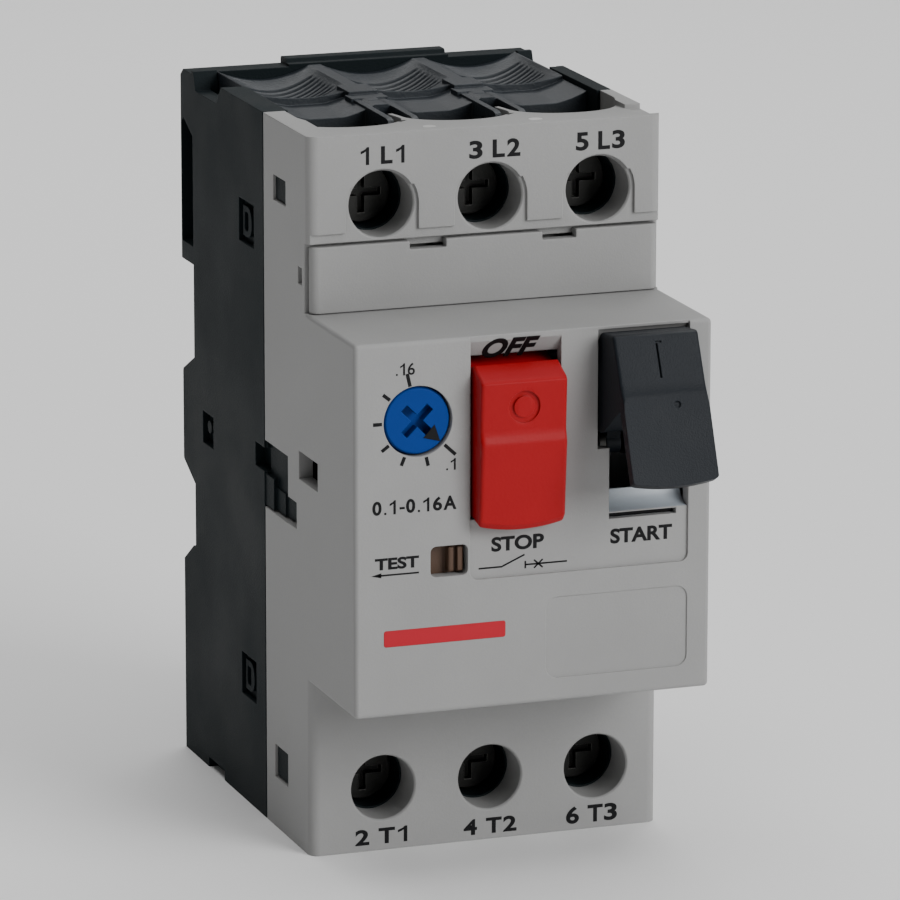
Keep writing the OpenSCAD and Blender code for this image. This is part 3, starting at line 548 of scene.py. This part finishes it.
quarter = [math.pi * i / 10 for i in range(6)]
outline = [(-21.0, -42.9), (-22.1, -43.2)]
outline += [(-21.1 - math.cos(a), -43.4 - math.sin(a)) for a in quarter]
outline += [(21.1 + math.sin(a), -43.4 - math.cos(a)) for a in quarter]
outline += [(22.1, -43.2), (21.0, -42.9)]
cover = prism("z", outline, 23.0, 31.1)
combine(cover, [box((x, x + 3), (-43.4, -40.8), (24.4, 26)) for x in (-14, 11)], "UNION")
combine(cover, [box(x, (TERM_CUT, -41.4), (30.1, 32)) for x in ((-9.7, -5.1), (7.2, 11.5))])
piece(cover, "cover_plate", "housing", "grey", ["accessory_cover"], bevel=0.14)

# ---------- base housing ----------

base = box((-HALF_W, HALF_W), (JOINT, REAR), (-HALF_H, HALF_H))
soften(base, 0.5, lambda m, d: m.y > REAR - 0.01 and abs(d.z) > 0.9 and abs(m.x) > 22, 4)
# Rail slot, the spaces of the mechanism and the trip bar, and the terminal spaces
rail_slot = [(1.5, -16.85), (1.5, 19.8), (8, 19.8), (8, -20.3), (6.8, -19.7), (2.4, -16.85)]
cuts = [
    prism("x", rail_slot, *WIDE),
    box(CELLS, (AHEAD_OF_JOINT, -5.5), (-4.1, 4.1)),
    box(CELLS, (AHEAD_OF_JOINT, -23.8), (-21.45, -13.45)),
    box(CELLS, (AHEAD_OF_JOINT, 2.0), (39.5, TOP_CUT)),
    box(CELLS, (AHEAD_OF_JOINT, 0.9), (-TOP_CUT, -39.5)),
]
# Chamfer and trough of the upper leg, and the clip channel of the lower one
chamfer = [(REAR - 2.2, HALF_H + 0.1), (REAR + 0.4, HALF_H + 0.4), (REAR + 0.1, HALF_H - 1.6)]
trough = [(-10.3, 44.52), (-8.4, 42.2), (0.1, 42.2), (1, 44.52), (1, TOP_CUT), (-10.3, TOP_CUT)]
cuts += [prism("x", chamfer, *WIDE), prism("x", trough, *WIDE)]
cuts += [box((-9.2, 10.2), (2.4, 4.05), (-46.5, -15.9)), box((-7.4, 8.4), (2.4, 8), (-46.5, -15.9))]
for x in POLES:
    cell = (x - CELL_HALF, x + CELL_HALF)
    cuts.append(box(cell, (AHEAD_OF_JOINT, -2), (-30, 30)))
    cuts += at_ends(lambda: box(cell, (AHEAD_OF_JOINT, -18), (29, 40.5)))
for x in ((WIDE[0], -9.6), (11.6, WIDE[1])):
    cuts.append(box(x, (1.8, 8), (44.15, TOP_CUT)))
# Side pocket of the upper leg, with a slanted top and a thin rim at the back
side_pocket = [(1.5, 22.1), (6.3, 22.1), (6.3, 37.4), (5.2, 38.0), (1.5, 36.2)]
# Small pocket, end step, latch notch, and the dark line between base and front housing
side_cuts = (
    (1.0, (-6.3, -1.9), (-2.3, 1.8)),
    (1.2, (-9.9, -3.4), (-TOP_CUT, -43.2)),
    (1.4, (AHEAD_OF_JOINT, -23.4), (-0.25, 2.75)),
    (0.3, (AHEAD_OF_JOINT, JOINT + 0.34), (-TOP_CUT, TOP_CUT)),
)
for side in (-1, 1):
    cuts.append(prism("x", side_pocket, *span(side, HALF_W - 3, HALF_W + 3)))
    for z in POCKETS:
        cuts.append(box(span(side, HALF_W - 0.8, HALF_W + 0.8), (-23.3, -17.4), (z - 2.7, z + 2.7)))
    cuts += [box(span(side, HALF_W - deep, HALF_W + deep), y, z) for deep, y, z in side_cuts]
combine(base, cuts)

# Ridge on the upper end, and the seat of the clip spring
lip = box((-9.5, 11.6), (3.3, 5.7), (44, 44.98))
soften(lip, 0.4, lambda m, d: m.z > 44.9 and abs(d.x) > 0.9)
added = [lip, box((-0.4, 1.4), (2.0, 4.9), (-34.35, -33.35))]
# Rail hooks, and the bosses that stand between the rail flanges
hook = [(2.65, 20.3), (2.65, 18.1), (3.25, 18.1), (4.7, 19.1), (4.7, 20.3)]
added += [prism("x", hook, x, x + 6) for x in (-12.5, 6.5)]
for x in ((-HALF_W, -4), (4, HALF_W)):
    boss = prism("x", [(1.0, -8.8), (6.3, -6.25), (6.3, 5.45), (1.0, 8.1)], x[0], x[1])
    added.append(soften(boss, 0.3, lambda m, d: m.y > 6.2 and abs(d.x) > 0.9))
for side in (-1, 1):
    # Snap tongues behind the windows of the front housing
    for z in TONGUES:
        added.append(box(span(side, 20.5, 21.1), (-36.3, JOINT + 1.5), (z - 2.2, z + 2.2)))
    # Ramped catch of each tongue, which fills its window to just below the face
    for front, rear, low, high in ((-35.6, -31.2, 34.7, 37.4), (-35.5, -30.8, -37.9, -34.1)):
        nose = [(21.0, front), (21.7, front), (22.2, front + 0.6), (22.2, rear), (21.0, rear)]
        nose = [(side * x, y) for x, y in nose]
        added.append(prism("z", nose[::side], low, high))
    # Latch plates that fill the notch of the front housing
    plate = span(side, HALF_W - 1.3, HALF_W - 0.8)
    added.append(box(plate, (-36, JOINT + 4.2), (-4.4, -0.4)))
    added.append(box(plate, (-39.3, -35.9), (-4.3, -1.3)))
    added.append(box(plate, (-36, JOINT + 0.1), (-0.5, 3.6)))
    added.append(box(span(side, HALF_W - 1.2, HALF_W - 0.15), (-30.2, JOINT + 0.6), (-4.4, -0.5)))
    added.append(box(span(side, HALF_W - 1.2, HALF_W - 0.55), (-33.6, -30.1), (-4.4, -1.6)))
    # Round boss in the small pocket and D-shaped boss in each snap pocket
    added.append(rod("x", 0.8, (-4.1, 0.1), *span(side, HALF_W - 1, HALF_W - 0.2), 40))
    for z in POCKETS:
        d_shape = [(-18.3, z - 1.9), (-18.3, z + 1.9), (-20.2, z + 1.9)]
        for i in range(1, 8):
            a = math.pi * i / 8
            d_shape.append((-20.2 - 1.5 * math.sin(a), z + 1.9 * math.cos(a)))
        d_shape.append((-20.2, z - 1.9))
        added.append(prism("x", d_shape, *span(side, HALF_W - 1, HALF_W - 0.25)))
combine(base, added, "UNION")
# Slots in the D-shaped bosses, and beside the upper pockets
cuts = []
for side in (-1, 1):
    for z in POCKETS:
        slot = rounded((-20.4, -18.9), (z - 1.2, z + 1.2), 0.4, 3)
        cuts.append(prism("x", slot, *span(side, HALF_W - 1.5, HALF_W + 1.5)))
cuts += [box(x, (-10.5, 0.5), (41.5, TOP_CUT)) for x in ((-20.5, -19.3), (20.5, 21.6))]
combine(base, cuts)
piece(base, "case_base", "housing", "black", ["base_housing"], bevel=0.15)

# ---------- ribbed wire guides ----------

# Top of a guide, floor of the space below it, its front end, and where the funnel meets the scoop
GUIDE_TOP, GUIDE_FLOOR, GUIDE_FRONT, MEET = 44.3, 39.6, -23.9, -15.5
RIBS, RIB_PITCH, RIB_HALF = 8, 1.3, 0.34


def guide_height(x, y):
    """Height of the funnel surface: ribbed valleys behind a straight lip, a lower scoop ahead of it."""
    across = min(abs(x - p) for p in POLES)
    slope = max(0.0, min(1.0, (6.1 - across) / 6.1))
    bowl = math.sin(slope * math.pi / 2) ** 0.85
    if y > MEET:
        run = min(1.0, (y - MEET) / 16.5)
        depth = 0.7 + 0.75 * run + 1.75 * math.sin(math.pi * min(1.0, run * 1.02)) ** 0.8
        z = GUIDE_TOP - depth * bowl
        for k in range(RIBS):
            d = abs(y + 2.2 + RIB_PITCH * k)
            if d < RIB_HALF and across < 5.3:
                z -= 0.6 * (1 - (d / RIB_HALF) ** 2) * min(1.0, bowl * 1.8)
        return z
    run = min(1.0, (MEET - y) / 7.1)
    return GUIDE_TOP - 0.45 - (1.15 + 0.15 * run) * min(1.0, bowl * 1.15)


def funnel(rear):
    """Grid over the funnel surface, closed by side walls and a flat floor."""
    back = rear - 0.1
    ys = {back + (GUIDE_FRONT - back) * i / 190 for i in range(191)}
    ys = sorted(ys | {MEET + 0.05, MEET - 0.02, GUIDE_FRONT}, reverse=True)
    left, right = CELLS[0] + 0.1, CELLS[1] - 0.1
    xs = [left + (right - left) * i / 150 for i in range(151)]
    bm = bmesh.new()
    grid = [[bm.verts.new((x, y, guide_height(x, y))) for x in xs] for y in ys]
    for a, b in zip(grid, grid[1:]):
        for i in range(len(xs) - 1):
            bm.faces.new((a[i], a[i + 1], b[i + 1], b[i]))
    rim = grid[0] + [r[-1] for r in grid[1:]] + grid[-1][-2::-1] + [r[0] for r in grid[-2:0:-1]]
    low = [bm.verts.new((v.co.x, v.co.y, GUIDE_FLOOR)) for v in rim]
    for i in range(len(rim)):
        j = (i + 1) % len(rim)
        bm.faces.new((rim[i], rim[j], low[j], low[i]))
    bm.faces.new(low)
    return link("funnel", bm)


def wire_guide(name, rear, flip, node):
    guide = funnel(rear)
    prong = [
        (-19.5, GUIDE_FLOOR), (-19.5, 43.7), (-31.4, 43.65), (-32.2, 43.45), (-32.45, 42.9), (-32.3, 42.0),
        (-31.5, 41.8), (-30.6, 42.5), (JOINT + 0.1, 42.3), (JOINT + 0.1, GUIDE_FLOOR),
    ]
    added = []
    for x in BETWEEN:
        # Flat ridge, its cross bracket, and two hooked prongs with a dark gap between them
        added.append(box((x - 1.9, x + 1.9), (-17.2, -12.6), (42.4, GUIDE_TOP)))
        added.append(box((x - 2.35, x + 2.35), (-19.6, -17.1), (42.0, 43.9)))
        added.append(box((x - 0.75, x + 0.75), (-21.2, -19.5), (GUIDE_FLOOR, 43.9)))
        added.append(box((x - 0.5, x + 0.5), (-23.6, -21.1), (GUIDE_FLOOR, 42.9)))
        added += [prism("x", prong, p - 0.38, p + 0.38) for p in (x - 1.6, x + 1.6)]
    combine(guide, added, "UNION")
    if flip:
        turn_over(guide)
    piece(guide, name, "housing", "guide", [node], bevel=0)


wire_guide("funnel_upper", 2.0, False, "upper_wire_guide")
wire_guide("funnel_lower", 0.9, True, "lower_wire_guide")

# ---------- springs -----------------------

# Each is drawn at its free length: the node it replaces, the joint, the share of its length kept, the fixed
# end, and its winding
for name, node, joint, keep, fixed, axis, centre, radius, wire, ends, turns in (
    ("start_coil", "start_spring", "start_press", 0.72, 1, "y", (16.9, 13.1), 1.9, 0.25, (-57.25, -44.65), 6),
    ("test_coil", "test_spring", "test_travel", 0.62, 0, "x", (-56, -4.1), 0.9, 0.2, (-20.5, -14.5), 5),
    ("clip_coil", "rail_clip_spring", "clip_pull", 0.6, 0, "z", (0.5, 3.9), 0.95, 0.22, (-33.32, -25.58), 5),
):
    wound = coil(axis, centre, radius, wire, ends, turns)
    spring = piece(wound, name, "housing", "spring", [node], bevel=0)
    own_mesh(spring)

# ---------- buttons ----------


def crowned(profile, middle, sag):
    """Button cap: a side profile carried across its width, its lower front edge bowed downwards.

    Each point of the profile is y, z and its share of the bow."""
    steps = 16
    sections = []
    for i in range(steps + 1):
        across = 2 * i / steps - 1
        section = [(y, z + sag * across**2 * share) for y, z, share in profile]
        sections.append((middle + CAP_HALF * across, section))
    return loft("x", sections)


def rim_of_side(m, d, middle, front):
    """Whether an edge borders a side face of the cap, ahead of a depth."""
    return abs(abs(m.x - middle) - CAP_HALF) < 0.01 and m.y < front and abs(d.x) < 0.1


# Hub of both caps on their common pin
HUB = [(-57.3, 15.6, 0), (-54.7, 16.4, 0), (-52.7, 17.4, 0), (-52.7, 19.4, 0), (-54.2, 20.3, 0)]
PIN_R = 0.96
START_X, STOP_X = 13.85, -2.25

arc = [(-61.0 - 6.2 * t, 9.9 + 4.1 * t**1.3, 0) for t in (0.8, 0.6, 0.4, 0.2)]
start_profile = [
    (-61, 22.1, 0), (-64.6, 22.5, 0), (-65.0, 22.3, 0), (-67.4, 17.1, 0), (-67.7, 16.5, 0), (-68.05, 16.0, 0),
    (-68.4, 15.5, 0), (-72.15, 5.6, 1), (-71.0, 5.0, 1), (-67.5, 13.9, 0), *arc, (-61, 9.9, 0),
    (-57.3, 10.6, 0), *HUB, (-59.2, 19.7, 0), (-60.7, 21.7, 0),
]
start = crowned(start_profile, START_X, 0.6)


def start_rim(m, d):
    under = m.y > -71.1 and m.z < 14.1
    return rim_of_side(m, d, START_X, -61.5) and not under


soften(start, 0.45, start_rim, 4)
arm = prism("x", [(-55.6, 17), (-53.8, 17), (-51.4, 6.6), (-53, 6.2)], 12.2, 14)
combine(start, [arm, rod("x", 1.3, (-52.2, 6.4), 12.2, 14, 40)], "UNION")
# Engraved stroke with its serif, and the dimple below them
stroke = posed(box((-0.13, 0.13), (-0.4, 0.4), (-2.1, 2.1)), -24, "X", (13.75, -66.35, 19.5))
serif = posed(box((-0.13, 0.65), (-0.4, 0.4), (-0.12, 0.12)), -24, "X", (13.75, -65.5, 21.6))
dimple = loft("y", [(y, ring((0, 0), r, 32)) for y, r in ((-0.6, 0.62), (-0.2, 0.52), (0.25, 0.36))])
posed(dimple, -20.5, "X", (15.2, -68.75, 14.6))
combine(start, [stroke, serif, dimple, rod("x", PIN_R, PIVOT, 5, 23, 40)])
piece(start, "start_cap", "start", "start", ["start_button"], bevel=0.1)

stop_profile = [
    (-61, 19.3, 0), (-63.7, 18.1, 0), (-64.15, 17.6, 0), (-63.85, 12.0, 0), (-63.87, 11.5, 0),
    (-63.98, 11.0, 0), (-64.15, 10.5, 0), (-64.25, 10.0, 0), (-63.55, 0.2, 1), (-63.0, -0.5, 1),
    (-61.6, -0.2, 1), (-61.6, 0.9, 0), (-60.0, 0.95, 0), (-60.0, 9.2, 0), (-57.3, 9.6, 0), *HUB,
    (-59.5, 18.5, 0),
]
stop = crowned(stop_profile, STOP_X, 0.7)
soften(stop, 0.45, lambda m, d: rim_of_side(m, d, STOP_X, -61.8), 4)
# Engraved circle
circle = (STOP_X, 14.6)
groove = combine(rod("y", 1.97, circle, -64.6, -63.68), [rod("y", 1.3, circle, -65, -63)])
combine(stop, [groove, rod("x", PIN_R, PIVOT, -9, 5, 40)])
piece(stop, "stop_cap", "stop", "red", ["stop_button"], bevel=0.12)

# ---------- dial ----------


def spoke(degrees):
    """Unit vector from the middle of the dial, in (x, z)."""
    return Vector((math.cos(math.radians(degrees)), math.sin(math.radians(degrees))))


crown = ((-60.95, 3.85), (-60.75, 4.05), (-60.5, 4.1), (-59.3, 4.1))
dial = loft("y", [(y, ring(DIAL, r, 96)) for y, r in crown])
collar, stem = rod("y", 4.9, DIAL, -59.45, -58.7, 96), rod("y", 2, DIAL, -58.8, -51.9, 48)
cam = rod("y", 3, (DIAL[0] + 0.5, DIAL[1]), -52, -50)
combine(dial, [collar, stem, cam], "UNION")
arms = []
for angle in (45, 135):
    slot = box((-2.3, 2.3), (-0.75, 0.75), (-0.52, 0.52))
    arms.append(posed(slot, angle, "Y", (DIAL[0], -60.35, DIAL[1])))
combine(dial, arms)
piece(dial, "dial_knob", "dial", "blue", ["setting_dial"], bevel=0.08)
hub, ray = Vector(DIAL), spoke(-43)
foot, cross = hub + ray * 2.0, Vector((-ray.y, ray.x)) * 1.05
arrow = prism("y", [tuple(p) for p in (hub + ray * 3.95, foot + cross, foot - cross)], -60.985, -60.9)
piece(arrow, "dial_arrow", "dial", "ink", bevel=0)

# ---------- test slide ----------

test = box((-10.6, -8.75), (-60.7, -57.7), (-5.6, -2.55))
soften(test, 0.25, lambda m, d: m.y < -60.6)
plate = box((-14.4, -7.6), (-59.5, -58.6), (-6.6, -1.6))
blade = box((-12.4, -11.4), (-58.8, -39.5), (-4.7, -3.4))
combine(test, [plate, blade], "UNION")
combine(test, [box((-9.95, -9.45), (-61, -59.9), (-6, -2))])
piece(test, "test_knob", "test", "brown", ["test_slide"], bevel=0.07)

# ---------- printing ----------

RIGHT, UP = Vector((1, 0, 0)), Vector((0, 0, 1))
# Bold weight and half thickness of the letters before they are fitted, and the flagged 1
BOLD, THICK = 0.035, 0.05
ONE = [
    (0.26, 0), (0.42, 0), (0.42, 1), (0.31, 1), (0.22, 0.88), (0.0, 0.77), (0.0, 0.62), (0.14, 0.68),
    (0.26, 0.77),
]
# Advance and left, right, low and high limit of each character, in capital heights
DIGIT = (0.76, 0.05, 0.68, 0, 1)
SIZES = {
    "L": (0.74, 0.1, 0.68, 0, 1),
    "T": (0.8, 0.04, 0.78, 0, 1),
    "A": (0.92, 0.02, 0.92, 0, 1),
    ".": (0.36, 0.1, 0.26, 0, 0.17),
    "-": (0.46, 0.06, 0.42, 0.31, 0.47),
    "1": (0.74, 0.12, 0.54, 0, 1),
}
SPACE = 0.3


def flat(mesh, name, origin, up, x, z):
    """Fits a flat figure (drawn in X-Y) into x by z millimetres on the surface through origin."""
    out = RIGHT.cross(up)
    co = [v.co.copy() for v in mesh.vertices]
    lo = [min(c[i] for c in co) for i in range(3)]
    size = [max(c[i] for c in co) - lo[i] or 1.0 for i in range(3)]
    for v, c in zip(mesh.vertices, co):
        u, w, t = [(c[i] - lo[i]) / size[i] for i in range(3)]
        lift = INK_OUT * t - INK_IN * (1 - t)
        v.co = origin + RIGHT * (x[0] + (x[1] - x[0]) * u) + up * (z[0] + (z[1] - z[0]) * w) + out * lift
    obj = bpy.data.objects.new(name, mesh)
    SCENE.collection.objects.link(obj)
    return on_case(obj, name)


def text_mesh(text, bold, shear=0.0):
    """Mesh of a text in the built-in font."""
    curve = bpy.data.curves.new("text", "FONT")
    curve.body = text
    curve.offset = bold
    curve.shear = shear
    curve.extrude = THICK
    curve.resolution_u = 6
    source = bpy.data.objects.new("text", curve)
    SCENE.collection.objects.link(source)
    bpy.context.view_layer.update()
    depsgraph = bpy.context.evaluated_depsgraph_get()
    mesh = bpy.data.meshes.new_from_object(source.evaluated_get(depsgraph))
    bpy.data.objects.remove(source)
    return mesh


def label(name, text, x, z, y, bold=0.03):
    """Terminal or scale label set out character by character, with a flagged 1."""
    joined, pen = bmesh.new(), 0.0
    for c in text:
        if c == " ":
            pen += SPACE
            continue
        advance, left, right, low, high = SIZES.get(c, DIGIT)
        if c == "1":
            figure = prism("z", ONE, -THICK, THICK)
            glyph = figure.data
            bpy.data.objects.remove(figure)
        else:
            glyph = text_mesh(c, bold)
        lo, hi = [[f(v.co[i] for v in glyph.vertices) for i in range(2)] for f in (min, max)]
        for v in glyph.vertices:
            v.co.x = pen + left + (right - left) * (v.co.x - lo[0]) / (hi[0] - lo[0])
            v.co.y = low + (high - low) * (v.co.y - lo[1]) / (hi[1] - lo[1])
        joined.from_mesh(glyph)
        pen += advance
    mesh = bpy.data.meshes.new(name)
    joined.to_mesh(mesh)
    joined.free()
    return flat(mesh, name, Vector((0, y, 0)), UP, x, z)


def strokes(name, lines, y, width):
    """Printed straight lines, each from (x, z) to (x, z)."""
    bm = bmesh.new()
    for start_point, end_point in lines:
        a, b = Vector(start_point), Vector(end_point)
        n = (b - a).normalized()
        side = Vector((-n.y, n.x)) * width / 2
        corners = [a - side, b - side, b + side, a + side]
        skin(bm, [[bm.verts.new((c.x, depth, c.y)) for c in corners] for depth in (y + INK_IN, y - INK_OUT)])
    return on_case(link(name, bm), name)


for name, text, x, z in (
    ("mark_line_1", "1 L1", (-15.9, -10.4), (40.75, 42.9)),
    ("mark_line_2", "3 L2", (-2.2, 4.3), (40.6, 42.8)),
    ("mark_line_3", "5 L3", (11.4, 17.7), (40.7, 42.95)),
    ("mark_load_1", "2 T1", (-16.8, -10.1), (-43.7, -41.7)),
    ("mark_load_2", "4 T2", (-2.8, 4.1), (-43.8, -41.8)),
    ("mark_load_3", "6 T3", (10.6, 17.3), (-43.7, -41.5)),
):
    label(name, text, x, z, TERM)
label("mark_scale_high", ".16", (-17.35, -15.0), (18.9, 20.35), FACE, bold=0.01)
label("mark_scale_low", ".1", (-11.1, -9.9), (7.0, 8.4), FACE, bold=0.01)
label("mark_range", "0.1-0.16A", (-20.3, -9.8), (2.2, 3.9), FACE)
for name, text, x, z, y in (
    ("mark_test", "TEST", (-20.0, -14.5), (-4.5, -3.05), FACE),
    ("mark_stop", "STOP", (-5.3, 1.35), (-3.55, -1.75), PANEL),
    ("mark_start", "START", (9.8, 17.7), (-3.85, -2.0), PANEL),
):
    flat(text_mesh(text, BOLD), name, Vector((0, y, 0)), UP, x, z)
# OFF lies on the slope above the STOP window
slope = Vector((0, -2.1, 3.0)).normalized()
off = text_mesh("OFF", 0.04, shear=0.25)
flat(off, "mark_off", Vector((0, -59.95, 20.67)), slope, (-6.15, 0.75), (-1.15, 2.1))
# Scale round the dial: angle, near end and far end of each tick
ticks = [(103, 4.4, 6.0)] + [(a, 4.5, 5.6) for a in (141, 180, 216, 248, 283)] + [(317, 4.5, 6.4)]
strokes("dial_ticks", [(hub + spoke(a) * near, hub + spoke(a) * far) for a, near, far in ticks], FACE, 0.42)
strokes("test_arrow", [((-19.6, -5.15), (-14.5, -5.15))], FACE, 0.2)
head = prism("y", [(-20.45, -5.15), (-19.2, -4.85), (-19.2, -5.45)], FACE - INK_OUT, FACE + INK_IN)
on_case(head, "test_arrow_head")
switch_lines = [
    ((-6.9, -5.45), (-3.9, -5.45)), ((-3.9, -5.4), (-1.1, -4.2)), ((-1.0, -5.0), (-1.0, -5.9)),
    ((-1.0, -5.45), (4.3, -5.45)), ((0.1, -4.95), (1.2, -5.95)), ((0.1, -5.95), (1.2, -4.95)),
]
strokes("switch_symbol", switch_lines, PANEL, 0.2)
strokes("start_bar", [((9.7, -0.4), (18.1, -0.4))], -60.1, 0.62)
stripe = prism("y", rounded((-18.9, -3.6), (-14.0, -12.0), 0.3), FACE - INK_OUT, FACE + INK_IN)
on_case(stripe, "red_stripe", "stripe")

# ---------- floor, light and camera ----------

floor_mesh = bmesh.new()
bmesh.ops.create_grid(floor_mesh, x_segments=2, y_segments=2, size=4.0)
floor = link("floor", floor_mesh)
floor.location.z = cad_box[0][2]
floor_mat = bpy.data.materials.new("pale_floor")
floor_mat.use_nodes = True
floor_mat.node_tree.nodes["Principled BSDF"].inputs["Base Color"].default_value = (0.86, 0.86, 0.86, 1)
floor_mat.node_tree.nodes["Principled BSDF"].inputs["Roughness"].default_value = 0.8
floor.data.materials.append(floor_mat)

world = bpy.data.worlds.new("studio")
SCENE.world = world
world.use_nodes = True
world.node_tree.nodes["Background"].inputs["Color"].default_value = (1, 1, 1, 1)
world.node_tree.nodes["Background"].inputs["Strength"].default_value = 0.16

AIM = Vector((-0.01062, -0.0628, 0.00798))


def area(name, place, size, power):
    light = bpy.data.lights.new(name, "AREA")
    light.shape = "RECTANGLE"
    light.size, light.size_y = size
    light.energy = power
    obj = bpy.data.objects.new(name, light)
    obj.location = place
    obj.rotation_euler = (AIM - obj.location).to_track_quat("-Z", "Y").to_euler()
    SCENE.collection.objects.link(obj)


area("key", (0.50, -0.85, 0.45), (0.6, 0.6), 9.7)
area("top", (0.15, 0.55, 0.6), (0.9, 0.5), 3)
sun = bpy.data.lights.new("overhead", "SUN")
sun.energy, sun.angle = 1.35, math.radians(50)
SCENE.collection.objects.link(bpy.data.objects.new("overhead", sun))

lens = bpy.data.cameras.new("camera")
lens.lens = 263.2
lens.sensor_width = 36
lens.clip_end = 20
camera = bpy.data.objects.new("camera", lens)
back = Vector((-0.3254, -0.9150, 0.2386)).normalized()
camera.location = AIM + back * 0.77536
turn = back.to_track_quat("Z", "Y").to_matrix().to_4x4() @ Matrix.Rotation(math.radians(0.055), 4, "Z")
camera.matrix_world = Matrix.Translation(camera.location) @ turn
SCENE.collection.objects.link(camera)
SCENE.camera = camera
